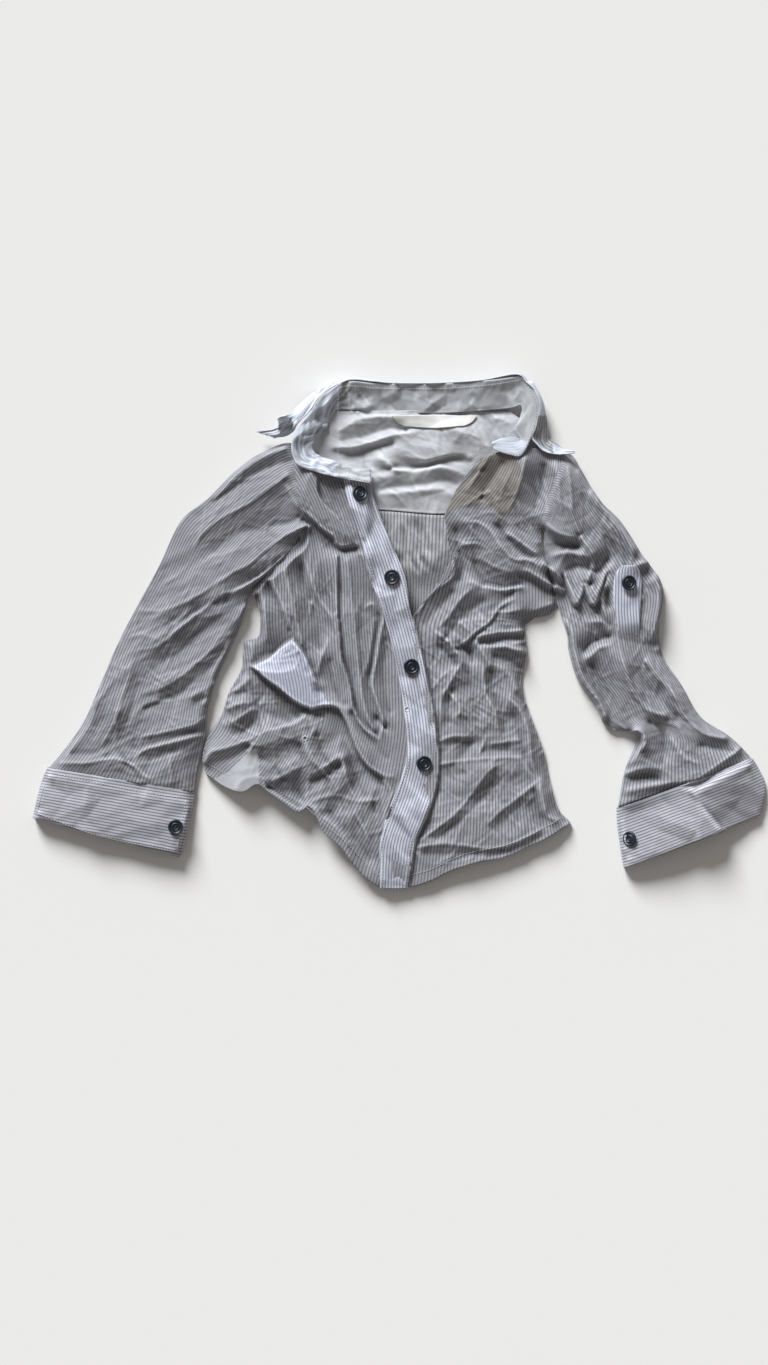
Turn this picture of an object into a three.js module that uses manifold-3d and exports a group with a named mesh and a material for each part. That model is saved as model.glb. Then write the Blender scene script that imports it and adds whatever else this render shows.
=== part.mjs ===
// A crumpled button-up shirt laid flat, collar away from the viewer. Each piece that is cut and sewn
// is one closed wall of cloth, and the pieces lie on each other as the laid shirt's layers do.
// Millimetres. +X is the laid shirt's right, +Y is towards its collar, +Z is up, and it lies on z = 0.
import * as THREE from "three";
import { mergeVertices } from "three/addons/utils/BufferGeometryUtils.js";
import Module from "manifold-3d";

const wasm = await Module();
wasm.setup();

// ---- driving dimensions ----
const clothWall = 1.6; // one layer of poplin with its small creases, as a rigid wall
const bandWall = 2.2; // bands of two layers and interlining: placket, cuffs, collar stand
const labelWall = 1;
const seamGap = 0.35; // between pieces that are sewn edge to edge
const layerGap = 0.6; // between pieces that lie on each other
const sleeveEdge = 4.6; // height of a laid sleeve's side fold: two layers and the bend between them
const frontEdge = 4.4; // top of a front at its side seam, over the back
const buttonDiameter = 15;
const buttonThickness = 3;
const tabButtonDiameter = 14;

// ---- materials ----
const stripedCloth = new THREE.MeshStandardMaterial({ color: 0xb7b4bb, roughness: 0.9 });
const plainInside = new THREE.MeshStandardMaterial({ color: 0xd3d7df, roughness: 0.9 });
const buttonResin = new THREE.MeshStandardMaterial({ color: 0x15171d, roughness: 0.35 });
const labelSatin = new THREE.MeshStandardMaterial({ color: 0xe6e3dc, roughness: 0.6 });

const shirt = new THREE.Group();

// ---- small geometry helpers ----
const { lerp, smoothstep } = THREE.MathUtils;

// A smooth curve through [x, y] points; u runs along its length.
const curve = (points) => new THREE.SplineCurve(points.map(([x, y]) => new THREE.Vector2(x, y)));

// A column of a table of sections as a function of its place t (0 at the first row, 1 at the last).
function column(rows, name) {
  const values = new THREE.SplineCurve(rows.map((row, i) => new THREE.Vector2(i, row[name])));
  return (t) => values.getPoint(t).y;
}

// A closed mesh, with its faces turned outwards.
function closedGeometry(vertices, triangles) {
  let sixVolumes = 0;
  for (const [a, b, c] of triangles) sixVolumes += vertices[a].dot(vertices[b].clone().cross(vertices[c]));
  const faces = sixVolumes < 0 ? triangles.map(([a, b, c]) => [a, c, b]) : triangles;
  const geometry = new THREE.BufferGeometry().setFromPoints(vertices);
  geometry.setIndex(faces.flat());
  return geometry;
}

// Joins two grids of points (the outer and the inner face of a wall) into one closed wall.
// Grids are lists of rows; a ring closes each row on itself.
function wallGeometry(outer, inner, ring) {
  const rows = outer.length;
  const columns = outer[0].length;
  const vertices = [...outer.flat(), ...inner.flat()];
  const at = (side, row, col) => (side * rows + row) * columns + (col % columns);
  const triangles = [];
  const quad = (a, b, c, d) => triangles.push([a, b, c], [a, c, d]);
  const steps = ring ? columns : columns - 1;
  for (let row = 0; row < rows - 1; row++) {
    for (let col = 0; col < steps; col++) {
      quad(at(0, row, col), at(0, row + 1, col), at(0, row + 1, col + 1), at(0, row, col + 1));
      quad(at(1, row, col), at(1, row, col + 1), at(1, row + 1, col + 1), at(1, row + 1, col));
    }
    if (!ring) {
      quad(at(0, row, 0), at(1, row, 0), at(1, row + 1, 0), at(0, row + 1, 0));
      const last = columns - 1;
      quad(at(0, row, last), at(0, row + 1, last), at(1, row + 1, last), at(1, row, last));
    }
  }
  for (let col = 0; col < steps; col++) {
    quad(at(0, 0, col), at(0, 0, col + 1), at(1, 0, col + 1), at(1, 0, col));
    const end = rows - 1;
    quad(at(0, end, col), at(1, end, col), at(1, end, col + 1), at(0, end, col + 1));
  }
  return closedGeometry(vertices, triangles);
}

// ---- boolean cuts ----
function toSolid(geometry) {
  const bare = geometry.clone();
  bare.deleteAttribute("normal");
  bare.deleteAttribute("uv");
  const merged = mergeVertices(bare, 1e-4);
  const vertProperties = new Float32Array(merged.attributes.position.array);
  const triVerts = new Uint32Array(merged.index.array);
  return new wasm.Manifold(new wasm.Mesh({ numProp: 3, vertProperties, triVerts }));
}

function toGeometry(solid) {
  const mesh = solid.getMesh();
  const geometry = new THREE.BufferGeometry();
  geometry.setAttribute("position", new THREE.BufferAttribute(new Float32Array(mesh.vertProperties), 3));
  geometry.setIndex(new THREE.BufferAttribute(new Uint32Array(mesh.triVerts), 1));
  return geometry;
}

function cutBy(geometry, cutters) {
  let solid = toSolid(geometry);
  for (const cutter of cutters) solid = solid.subtract(toSolid(cutter));
  const largestFirst = solid.decompose().sort((a, b) => b.volume() - a.volume());
  return toGeometry(largestFirst[0]);
}

function addPiece(name, geometry, material) {
  const mesh = new THREE.Mesh(geometry, material);
  mesh.name = name;
  shirt.add(mesh);
}

// ---- folds ----
// Each row is one fold: a soft ridge (a trough where rise is negative) along a line bent at its middle.
const fold = (x0, y0, x1, y1, x2, y2, width, rise) => ({ x0, y0, x1, y1, x2, y2, width, rise });

// Distance from (x, y) to the segment a-b, and how far along it the nearest point is (0 to 1).
function nearSegment(x, y, ax, ay, bx, by) {
  const along = THREE.MathUtils.clamp(
    ((x - ax) * (bx - ax) + (y - ay) * (by - ay)) / ((bx - ax) ** 2 + (by - ay) ** 2), 0, 1);
  return { away: Math.hypot(x - lerp(ax, bx, along), y - lerp(ay, by, along)), along };
}

function foldHeight(folds, x, y) {
  let height = 0;
  for (const f of folds) {
    const first = nearSegment(x, y, f.x0, f.y0, f.x1, f.y1);
    const second = nearSegment(x, y, f.x1, f.y1, f.x2, f.y2);
    const nearer = first.away < second.away ? first : second;
    const along = (nearer === first ? 0 : 1) + nearer.along;
    const taper = 0.35 + 0.65 * Math.sin((Math.PI * along) / 2);
    height += f.rise * taper * Math.exp(-((nearer.away / f.width) ** 2));
  }
  return height;
}

// ---- flat panels ----
// A point of a panel between its four edge curves (a Coons patch).
function panelPoint(edges, u, v) {
  const top = edges.top.getPointAt(u);
  const bottom = edges.bottom.getPointAt(u);
  const left = edges.left.getPointAt(v);
  const right = edges.right.getPointAt(v);
  const blend = (axis) => {
    const corners = lerp(
      lerp(edges.top.getPointAt(0)[axis], edges.top.getPointAt(1)[axis], u),
      lerp(edges.bottom.getPointAt(0)[axis], edges.bottom.getPointAt(1)[axis], u), v);
    return lerp(top[axis], bottom[axis], v) + lerp(left[axis], right[axis], u) - corners;
  };
  return { x: blend("x"), y: blend("y") };
}

// A panel's wall: topAt(x, y, u, v) is its upper face, and its lower face stays above floorAt(x, y).
function panelGeometry(edges, columns, rows, wall, topAt, floorAt) {
  const upper = [];
  const lower = [];
  for (let row = 0; row <= rows; row++) {
    upper.push([]);
    lower.push([]);
    for (let col = 0; col <= columns; col++) {
      const { x, y } = panelPoint(edges, col / columns, row / rows);
      const floor = floorAt(x, y);
      const top = Math.max(topAt(x, y, col / columns, row / rows), floor + wall);
      upper[row].push(new THREE.Vector3(x, y, top));
      lower[row].push(new THREE.Vector3(x, y, Math.max(floor, top - wall)));
    }
  }
  return wallGeometry(upper, lower, false);
}

// ---- laid tubes: sleeves and cuffs ----
// Sections run down the sleeve; each goes from the outer side fold (ox, oy) to the inner one (ix, iy),
// and crown is the height of its upper layer.
function laidTube(sections, folds) {
  const [ox, oy, ix, iy, crown] = ["ox", "oy", "ix", "iy", "crown"].map((name) => column(sections, name));
  return (t, s) => {
    const across = (1 + s) / 2;
    const x = lerp(ox(t), ix(t), across);
    const y = lerp(oy(t), iy(t), across);
    const round = Math.max(0, 1 - Math.abs(s) ** 3) ** 0.6;
    const top = sleeveEdge + (crown(t) - sleeveEdge + foldHeight(folds, x, y)) * round;
    const width = Math.hypot(ox(t) - ix(t), oy(t) - iy(t));
    return { x, y, top: Math.max(top, sleeveEdge), width };
  };
}

const topPoints = 12; // points across a tube's upper layer
const flatPoints = 6; // points across its lower layer

function tubeGeometry(tube, from, to, rings, wall) {
  const outer = [];
  const inner = [];
  for (let ring = 0; ring <= rings; ring++) {
    const t = lerp(from, to, ring / rings);
    const outside = [];
    const inside = [];
    const place = (s, isTop) => {
      const p = tube(t, s);
      const shrink = 1 - (2 * wall) / p.width;
      const q = tube(t, s * shrink);
      const roof = Math.max(p.top - wall, wall + 1);
      outside.push(new THREE.Vector3(p.x, p.y, isTop ? p.top : 0));
      inside.push(new THREE.Vector3(q.x, q.y, isTop ? roof : wall));
    };
    for (let i = 0; i <= topPoints; i++) place(-Math.cos((Math.PI * i) / topPoints), true);
    for (let i = 0; i < flatPoints; i++) place(0.985 * (1 - (2 * i) / (flatPoints - 1)), false);
    outer.push(outside);
    inner.push(inside);
  }
  return wallGeometry(outer, inner, true);
}

// A tall cutter over an outline seen from above, given as its two long sides.
function planCutter(oneSide, otherSide) {
  const outline = new THREE.Shape([...oneSide, ...otherSide.toReversed()]);
  return new THREE.ExtrudeGeometry(outline, { depth: 80, bevelEnabled: false }).translate(0, 0, -10);
}

// The cutter over a laid tube, grown by the seam gap, for what meets the tube.
function tubeCutter(tube, rings) {
  const start = tube(0, 0);
  const next = tube(1 / rings, 0);
  const length = Math.hypot(next.x - start.x, next.y - start.y);
  const back = { x: ((start.x - next.x) / length) * seamGap, y: ((start.y - next.y) / length) * seamGap };
  const sides = [-1, 1].map((side) => {
    const points = [];
    for (let ring = 0; ring <= rings; ring++) {
      const { width } = tube(ring / rings, 0);
      const p = tube(ring / rings, side * (1 + (2 * seamGap) / width));
      const shift = ring === 0 ? back : { x: 0, y: 0 };
      points.push(new THREE.Vector2(p.x + shift.x, p.y + shift.y));
    }
    return points;
  });
  return planCutter(sides[0], sides[1]);
}

const section = (ox, oy, ix, iy, crown) => ({ ox, oy, ix, iy, crown });

// ---- left sleeve and cuff ----
const leftSleeveSections = [
  section(-112, 188, -98, 103, 17),
  section(-139, 180, -108, 84, 15),
  section(-165, 162, -125, 67, 13),
  section(-192, 135, -149, 43, 12),
  section(-219, 113, -158, 13, 11),
  section(-241, 68, -173, -21, 11),
  section(-263, 28, -185, -49, 11),
  section(-283, -11, -193, -79, 11),
  section(-300, -51, -195, -100, 12),
  section(-317, -89, -200, -125, 13),
  section(-339, -120, -204, -143, 14),
  section(-352, -134, -206, -158, 15),
];
const leftSleeveFolds = [
  fold(-96, 94, -149, 73, -211, 33, 8, 7),
  fold(-150, 48, -200, 10, -251, -57, 9, 6),
  fold(-111, 160, -150, 148, -192, 128, 9, 6),
  fold(-120, 108, -160, 112, -205, 88, 8, 4),
  fold(-245, 42, -215, 52, -190, 40, 7, 4),
  fold(-262, -5, -235, 8, -205, -2, 7, 4),
  fold(-275, -92, -240, -88, -206, -96, 6, 5),
  fold(-285, -132, -245, -124, -211, -108, 6, 5),
  fold(-290, -30, -288, -80, -300, -110, 8, 4),
  fold(-240, -40, -262, -70, -272, -105, 8, 4),
  fold(-230, 95, -262, 30, -286, -20, 8, 3),
];
const leftSleeve = laidTube(leftSleeveSections, leftSleeveFolds);
const leftCuff = laidTube([
  section(-353, -135, -206, -159, 15),
  section(-360, -161, -211, -190, 17),
  section(-367, -185, -220, -223, 17),
], []);

// ---- right sleeve and cuff ----
const rightSleeveSections = [
  section(170, 178, 142, 103, 15),
  section(183, 157, 144, 81, 15),
  section(199, 131, 149, 58, 14),
  section(219, 111, 154, 37, 14),
  section(239, 80, 159, 21, 15),
  section(261, 45, 166, -1, 16),
  section(257, 8, 168, -19, 16),
  section(261, -23, 177, -47, 16),
  section(279, -51, 193, -69, 16),
  section(299, -84, 207, -95, 17),
  section(327, -103, 236, -102, 18),
  section(341, -116, 224, -137, 19),
  section(352, -126, 216, -176, 16),
];
const rightSleeveFolds = [
  fold(224, 60, 236, -2, 249, -60, 12, 7),
  fold(159, 33, 180, -30, 215, -95, 8, 7),
  fold(190, 20, 205, -28, 245, -90, 7, 5),
  fold(174, 163, 190, 120, 215, 70, 9, 6),
  fold(150, 120, 165, 85, 180, 45, 8, 5),
  fold(215, -103, 232, -100, 245, -98, 7, 5),
  fold(238, -130, 292, -146, 340, -117, 12, 7),
  fold(285, -75, 305, -95, 330, -112, 8, 4),
  fold(250, 78, 258, 55, 255, 30, 8, 4),
  fold(150, 68, 158, 50, 163, 38, 6, 5),
];
const rightSleeve = laidTube(rightSleeveSections, rightSleeveFolds);
const rightCuff = laidTube([
  section(353, -127, 216, -177, 16),
  section(363, -156, 218, -206, 18),
  section(360, -182, 224, -234, 17),
], []);

const sleeveRings = 22;
const cuffRings = 4;
const seamShare = 0.0012; // the seam gap as a share of a sleeve's length, at its cuff
addPiece("sleeve_left", tubeGeometry(leftSleeve, 0, 1 - seamShare, sleeveRings, clothWall), stripedCloth);
addPiece("cuff_left", tubeGeometry(leftCuff, 0, 1, cuffRings, bandWall), stripedCloth);
addPiece("sleeve_right", tubeGeometry(rightSleeve, 0, 1 - seamShare, sleeveRings, clothWall), stripedCloth);
addPiece("cuff_right", tubeGeometry(rightCuff, 0, 1, cuffRings, bandWall), stripedCloth);
const sleeveCutters = [tubeCutter(leftSleeve, sleeveRings), tubeCutter(rightSleeve, sleeveRings)];

// ---- placket: sections across the band, from the collar down ----
const placketSections = [
  { y: 160, left: -60, right: -32 },
  { y: 123, left: -51, right: -23 },
  { y: 88, left: -39, right: -9 },
  { y: 55, left: -30, right: 4 },
  { y: 24, left: -19, right: 9 },
  { y: -12, left: -9, right: 17 },
  { y: -64, left: 1, right: 29 },
  { y: -100, left: 5, right: 35 },
  { y: -127, left: 5, right: 37 },
  { y: -152, left: -3, right: 35 },
  { y: -184, left: -15, right: 25 },
  { y: -209, left: -21, right: 14 },
  { y: -232, left: -21, right: 9 },
  { y: -255, left: -21, right: 7 },
];
const placketEdge = (name) => curve(placketSections.map((row) => [row[name], row.y]));
const placketWaves = [
  fold(-20, 70, -12, 62, -4, 56, 9, 2),
  fold(0, -18, 8, -24, 16, -20, 9, 2),
  fold(2, -148, 16, -152, 34, -160, 10, 3),
  fold(-18, -200, 0, -196, 14, -204, 10, -1.5),
];
const placketUnder = 9; // the band's lower face, over the other front's edge
const placketTop = (x, y) => placketUnder + bandWall + foldHeight(placketWaves, x, y);
const placketRight = placketEdge("right");
const placketEdges = {
  top: curve([[-60, 160], [-46, 160], [-32, 160]]),
  left: placketEdge("left"),
  bottom: curve([[-21, -255], [-7, -255.5], [7, -255]]),
  right: placketRight,
};
const placketColumns = 3;
const placketRows = 26;
addPiece("placket",
  panelGeometry(placketEdges, placketColumns, placketRows, bandWall, placketTop, () => placketUnder),
  stripedCloth);
const placketSide = (u, shift) => {
  const points = Array.from({ length: placketRows + 1 }, (_, row) => {
    const p = panelPoint(placketEdges, u, row / placketRows);
    return new THREE.Vector2(p.x + shift, p.y);
  });
  const beyond = new THREE.Vector2(0, 10); // the cutter runs past both ends of the band
  return [points[0].clone().add(beyond), ...points, points.at(-1).clone().sub(beyond)];
};
const placketCutter = planCutter(placketSide(0, -seamGap), placketSide(0.5, 0));
const underBand = 2; // how far the front runs into that cutter, so that it ends along the band's seam

// ---- back and yoke: the lowest layer, flat where it rests ----
const backFolds = [
  fold(12, 74, 18, 62, 22, 50, 5, 3),
  fold(25, 75, 22, 62, 20, 52, 4, 3),
  fold(-12, 105, -2, 88, 8, 72, 6, 2),
];
const backTop = (x, y) => clothWall + foldHeight(backFolds, x, y);
const backEdges = {
  top: curve([[-98, 121], [-20, 121.6], [40, 117.6], [90, 121], [141, 121]]),
  left: curve([[-98, 121], [-104, 90], [-125, 66], [-150, 40], [-141, 18], [-136, 0], [-150, -30],
    [-168, -70], [-186, -110], [-188, -138]]),
  bottom: curve([[-188, -138], [-140, -160], [-103, -184], [-50, -229], [-20, -250], [10, -250],
    [48, -235], [104, -220], [160, -190]]),
  right: curve([[141, 121], [140, 90], [150, 58], [154, 33], [132, 14], [118, 0], [115, -50],
    [122, -80], [136, -122], [148, -172], [160, -190]]),
};
const restOnTable = () => 0;
addPiece("back",
  cutBy(panelGeometry(backEdges, 16, 20, clothWall, backTop, restOnTable), sleeveCutters), plainInside);

const yokeFolds = [
  fold(-60, 205, -20, 205, 20, 196, 7, 4),
  fold(-40, 186, -5, 200, 40, 202, 7, 4),
  fold(-30, 172, 20, 178, 55, 168, 8, 4),
  fold(20, 205, 50, 200, 75, 185, 7, 3),
  fold(-55, 190, -45, 175, -20, 165, 7, 3),
  fold(80, 210, 92, 195, 96, 180, 5, 3),
  fold(-20, 150, 15, 152, 45, 142, 7, 3),
];
// The yoke lies over the folded-under collar leaf near its seam, and on the table below that.
const leafUnderYoke = 3.6;
const yokeFloor = (x, y) => leafUnderYoke * smoothstep(y, 186, 206);
const neckShows = (x) => smoothstep(x, -75, -50) * (1 - smoothstep(x, 70, 100));
const yokeTop = (x, y) =>
  yokeFloor(x, y) + clothWall + Math.max(0, foldHeight(yokeFolds, x, y)) * neckShows(x);
const yokeEdges = {
  top: curve([[-68, 218.5], [-10, 217.5], [50, 217.5], [108, 219]]),
  left: curve([[-68, 218.5], [-92, 203], [-108, 187], [-103, 150], [-98, 122]]),
  bottom: curve([[-98, 122], [-20, 122.6], [40, 118.6], [90, 122], [141, 122]]),
  right: curve([[108, 219], [138, 200], [166, 178], [155, 145], [141, 122]]),
};
addPiece("back_yoke",
  cutBy(panelGeometry(yokeEdges, 14, 9, clothWall, yokeTop, yokeFloor), sleeveCutters), plainInside);

// ---- fronts, over the back and yoke ----
const yokeShare = (y) => smoothstep(y, 112, 126);
const frontFloor = (x, y) =>
  layerGap + lerp(clothWall, Math.max(yokeTop(x, y), clothWall), yokeShare(y)) + 0.4 * yokeShare(y);

const leftFrontFolds = [
  fold(-139, 46, -122, 22, -109, -7, 7, 7),
  fold(-101, 70, -96, 33, -71, -17, 8, 7),
  fold(-79, 73, -62, 30, -52, -17, 8, 5),
  fold(-53, 80, -50, 0, -36, -97, 10, 6),
  fold(-103, -66, -52, -84, -14, -145, 8, 7),
  fold(-146, -32, -128, -24, -109, -12, 9, 8),
  fold(-109, -12, -98, -34, -91, -57, 9, 7),
  fold(-172, -67, -158, -88, -136, -102, 10, 5),
  fold(-192, -125, -150, -108, -101, -82, 9, 5),
  fold(-139, -115, -110, -112, -81, -107, 10, 5),
  fold(-138, -148, -100, -172, -61, -205, 7, 4),
  fold(-56, -107, -58, -140, -46, -172, 9, 5),
  fold(-136, -64, -124, -73, -108, -80, 9, -4),
  fold(-89, 155, -86, 125, -71, 93, 8, 3),
  fold(-30, -120, -34, -160, -30, -200, 9, 4),
];
const leftFrontEdges = {
  top: curve([[-112, 187], [-100, 178], [-78, 172], [-60 + underBand, 160]]),
  left: curve([[-112, 187], [-105, 150], [-101, 103], [-111, 84], [-128, 67], [-150, 44], [-142, 29],
    [-138, 10], [-141, -8], [-155, -12], [-157, -36], [-172, -63], [-178, -84], [-192, -105],
    [-197, -127], [-194, -141]]),
  bottom: curve([[-194, -141], [-171, -154], [-142, -154], [-103, -179], [-71, -203], [-49, -226],
    [-21 + underBand, -255]]),
  right: curve(placketSections.map((row) => [row.left + underBand, row.y])),
};
const crownOf = (u) => Math.sqrt(Math.sin(Math.PI * THREE.MathUtils.clamp(u, 0, 1)));
function leftFrontTop(x, y, u) {
  const level = lerp(frontEdge, placketUnder + clothWall, smoothstep(u, 0, 0.5)); // rises to the band
  const calmAtNeck = 1 - 0.7 * smoothstep(y, 120, 170);
  return level + 2 * crownOf(u) + foldHeight(leftFrontFolds, x, y) * calmAtNeck;
}
addPiece("front_left",
  cutBy(panelGeometry(leftFrontEdges, 15, 27, clothWall, leftFrontTop, frontFloor),
    [...sleeveCutters, placketCutter]), stripedCloth);

const rightFrontFolds = [
  fold(60, 104, 84, 96, 106, 90, 11, 6),
  fold(69, 128, 119, 88, 150, 58, 7, 6),
  fold(63, 58, 108, 47, 145, 42, 7, -3),
  fold(50, -18, 99, 24, 128, 34, 7, 6),
  fold(34, 3, 46, -8, 61, -28, 6, 5),
  fold(74, -6, 82, -16, 90, -27, 6, 5),
  fold(80, -36, 90, -70, 97, -105, 7, 4),
  fold(23, -207, 60, -172, 104, -128, 7, -3),
  fold(30, -213, 67, -180, 111, -136, 8, 4),
  fold(83, -193, 112, -172, 140, -145, 8, 3),
  fold(105, -64, 118, -92, 130, -128, 7, 4),
  fold(40, -73, 56, -86, 74, -103, 7, 3),
  fold(62, 124, 50, 100, 53, 60, 7, 6),
  fold(50, 55, 36, 40, 20, 20, 7, 5),
  fold(136, -150, 144, -168, 152, -184, 7, 4),
  fold(10, -246, 80, -226, 158, -192, 6, 3),
  fold(100, 168, 112, 150, 118, 130, 8, 3),
];
const rightFrontEdges = {
  top: curve([[43, 117], [58, 148], [75, 168], [97, 180], [125, 184], [150, 182], [168, 177]]),
  left: curve([[43, 117], [47, 88], [51, 62], [34, 42], [14, 20], [-1, -7], [7, -40], [13, -75],
    [18, -105], [19, -130], [12, -160], [0, -190], [-8, -220], [-8, -253]]),
  bottom: curve([[-8, -253], [9, -253], [30, -247], [48, -238], [71, -230], [104, -223], [127, -213],
    [150, -202], [167, -190]]),
  right: curve([[168, 177], [155, 143], [139, 103], [141, 81], [147, 58], [154, 33], [141, 13],
    [124, 9], [124, -22], [119, -52], [127, -80], [142, -122], [149, -157], [157, -179], [167, -190]]),
};
function rightFrontTop(x, y, u, v) {
  const besideBand = x - placketRight.getPointAt(THREE.MathUtils.clamp((160 - y) / 415, 0, 1)).x;
  const clear = y > 45 ? 1 : smoothstep(besideBand, 0, 20); // under the band it lies flat
  const flat = placketUnder - layerGap - 0.6;
  const free = lerp(8.5, frontEdge, smoothstep(u, 0.55, 1)) + 2 * crownOf(u)
    + foldHeight(rightFrontFolds, x, y);
  return lerp(flat, free, clear);
}
addPiece("front_right",
  cutBy(panelGeometry(rightFrontEdges, 15, 27, clothWall, rightFrontTop, frontFloor), sleeveCutters),
  stripedCloth);

// ---- label, on the yoke just below the stand ----
const labelEdges = {
  top: curve([[-9, 215.4], [33, 215.4], [75, 215.4]]),
  left: curve([[-9, 215.4], [-3, 210], [5, 205]]),
  bottom: curve([[5, 205], [33, 203.6], [61, 205]]),
  right: curve([[75, 215.4], [69, 210], [61, 205]]),
};
const overYoke = (x, y) => yokeTop(x, y) + layerGap;
addPiece("label",
  panelGeometry(labelEdges, 8, 3, labelWall, (x, y) => overYoke(x, y) + labelWall, overYoke), labelSatin);

// ---- collar: strips of cloth through sections of three points ----
// Each row goes across the strip, from its first edge (a) over its middle (b) to its second edge (c).
const across = (ax, ay, az, bx, by, bz, cx, cy, cz) => ({ ax, ay, az, bx, by, bz, cx, cy, cz });

function stripGeometry(rows, steps, columns, wall) {
  const value = (name) => column(rows, name);
  const [ax, ay, az, bx, by, bz, cx, cy, cz] =
    ["ax", "ay", "az", "bx", "by", "bz", "cx", "cy", "cz"].map(value);
  const middle = (t, w) => {
    const bow = new THREE.QuadraticBezierCurve3(
      new THREE.Vector3(ax(t), ay(t), az(t)),
      new THREE.Vector3(2 * bx(t) - (ax(t) + cx(t)) / 2, 2 * by(t) - (ay(t) + cy(t)) / 2,
        2 * bz(t) - (az(t) + cz(t)) / 2),
      new THREE.Vector3(cx(t), cy(t), cz(t)));
    return bow.getPoint(w);
  };
  const step = 0.004;
  const upper = [];
  const lower = [];
  for (let i = 0; i <= steps; i++) {
    upper.push([]);
    lower.push([]);
    for (let j = 0; j <= columns; j++) {
      const t = i / steps;
      const w = j / columns;
      const alongStrip = middle(Math.min(1, t + step), w).sub(middle(Math.max(0, t - step), w));
      const acrossStrip = middle(t, Math.min(1, w + step)).sub(middle(t, Math.max(0, w - step)));
      const normal = alongStrip.cross(acrossStrip).normalize();
      upper[i].push(middle(t, w).addScaledVector(normal, wall / 2));
      lower[i].push(middle(t, w).addScaledVector(normal, -wall / 2));
    }
  }
  return wallGeometry(upper, lower, false);
}

// Stand: a is the neck seam, c the edge that carries the leaf (free along the front ends).
const standRows = [
  across(-33, 161, 15.5, -31, 154, 16, -30, 147, 15.5),
  across(-46, 166, 15, -51, 159, 16, -56, 151, 15.5),
  across(-60, 171, 14.5, -69, 164, 16, -79, 157, 15),
  across(-71, 176, 14, -86, 174, 17, -100, 171, 15),
  across(-74, 184, 13, -87, 186, 17, -98, 188, 17),
  across(-72, 196, 11, -79, 200, 16, -86, 205, 19),
  across(-69, 208, 9, -74, 214, 15, -80, 222, 19),
  across(-65, 217, 8.5, -68, 226, 13, -70, 236, 18),
  across(-40, 217, 8, -42, 230, 10, -44, 243, 14),
  across(-10, 217, 8, -10, 231, 9.5, -10, 245, 13),
  across(39, 217, 8, 39, 231, 9.5, 39, 246, 13),
  across(79, 217.5, 8, 79, 233, 10, 79, 249, 14),
  across(108, 219, 8.5, 114, 235, 12, 119, 251, 17),
  across(112, 209, 9, 122, 221, 14, 132, 235, 19),
  across(114, 198, 11, 126, 207, 16, 137, 217, 19),
  across(111, 188, 13.5, 120, 191, 17, 129, 195, 18),
  across(99, 183, 14.5, 110, 177, 17, 120, 172, 16),
];
addPiece("collar_stand", stripGeometry(standRows, 30, 3, bandWall), plainInside);

// Leaf: a is the fold at the stand's upper edge, c the leaf's outer edge. At the back it is tucked under.
const leafRows = [
  across(-99, 189, 19.6, -121, 197, 15, -143, 200, 10),
  across(-87, 206, 21.6, -103, 213, 20, -119, 216, 10),
  across(-81, 222, 21.6, -92, 226, 17, -102, 228, 7),
  across(-71, 237, 20.6, -79, 241, 14, -86, 241, 5),
  across(-52, 243.5, 17.5, -57, 250, 10, -58, 243, 2),
  across(-28, 245, 15.8, -28, 253, 8, -28, 225, 1.6),
  across(-10, 246, 15.4, -10, 249.5, 8, -10, 214, 1.2),
  across(39, 247, 15.4, 39, 249.5, 8, 39, 212, 1.2),
  across(79, 250, 16.4, 79, 252.5, 8, 79, 214, 1.2),
  across(119, 252.5, 19.5, 123, 253, 10, 117, 236, 1.8),
  across(133, 236, 21.5, 141, 236, 13, 144, 230, 4),
  across(138, 217, 21.5, 147, 215, 16, 152, 208, 8),
  across(130, 196, 20.8, 150, 190, 19, 171, 181, 14),
];
addPiece("collar", stripGeometry(leafRows, 34, 4, clothWall), stripedCloth);

// ---- roll-up tab on the right sleeve, made from the sleeve's own upper layer, moved out ----
const tabLift = 1.4;
function tabGeometry(tube, t0, t1, s0, s1, steps, columns, wall) {
  const upper = [];
  const lower = [];
  for (let i = 0; i <= steps; i++) {
    const t = lerp(t0, t1, i / steps);
    const narrowing = lerp(1, 0.75, i / steps);
    const row = (lift) =>
      Array.from({ length: columns + 1 }, (_, j) => {
        const s = lerp(s0, s1, 0.5) + (lerp(s0, s1, j / columns) - lerp(s0, s1, 0.5)) * narrowing;
        const p = tube(t, s);
        return new THREE.Vector3(p.x, p.y, p.top + lift);
      });
    upper.push(row(tabLift + wall));
    lower.push(row(tabLift));
  }
  return wallGeometry(upper, lower, false);
}
const tabStart = 0.34;
const tabEnd = 0.56;
addPiece("sleeve_tab", tabGeometry(rightSleeve, tabStart, tabEnd, -0.55, 0, 10, 3, clothWall), stripedCloth);

// ---- buttons: a rim, a sunk ring, a raised middle and four thread holes ----
function buttonGeometry(diameter) {
  const r = diameter / 2;
  const sides = 16;
  const profile = [[0, 0], [r - 0.6, 0], [r, 0.8], [r - 0.4, buttonThickness], [r - 1.8, buttonThickness],
    [r - 2.4, buttonThickness - 0.9], [r * 0.5, buttonThickness - 0.9], [r * 0.42, buttonThickness - 0.3],
    [0, buttonThickness - 0.5]];
  const disc = new THREE.LatheGeometry(profile.map(([x, y]) => new THREE.Vector2(x, y)), sides)
    .rotateX(Math.PI / 2);
  const holeRadius = 0.8;
  const holeOffset = 1.25;
  const holes = [[1, 1], [1, -1], [-1, 1], [-1, -1]].map(([i, j]) =>
    new THREE.CylinderGeometry(holeRadius, holeRadius, 10, 6)
      .rotateX(Math.PI / 2).translate(i * holeOffset, j * holeOffset, 0));
  return cutBy(disc, holes);
}

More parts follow.
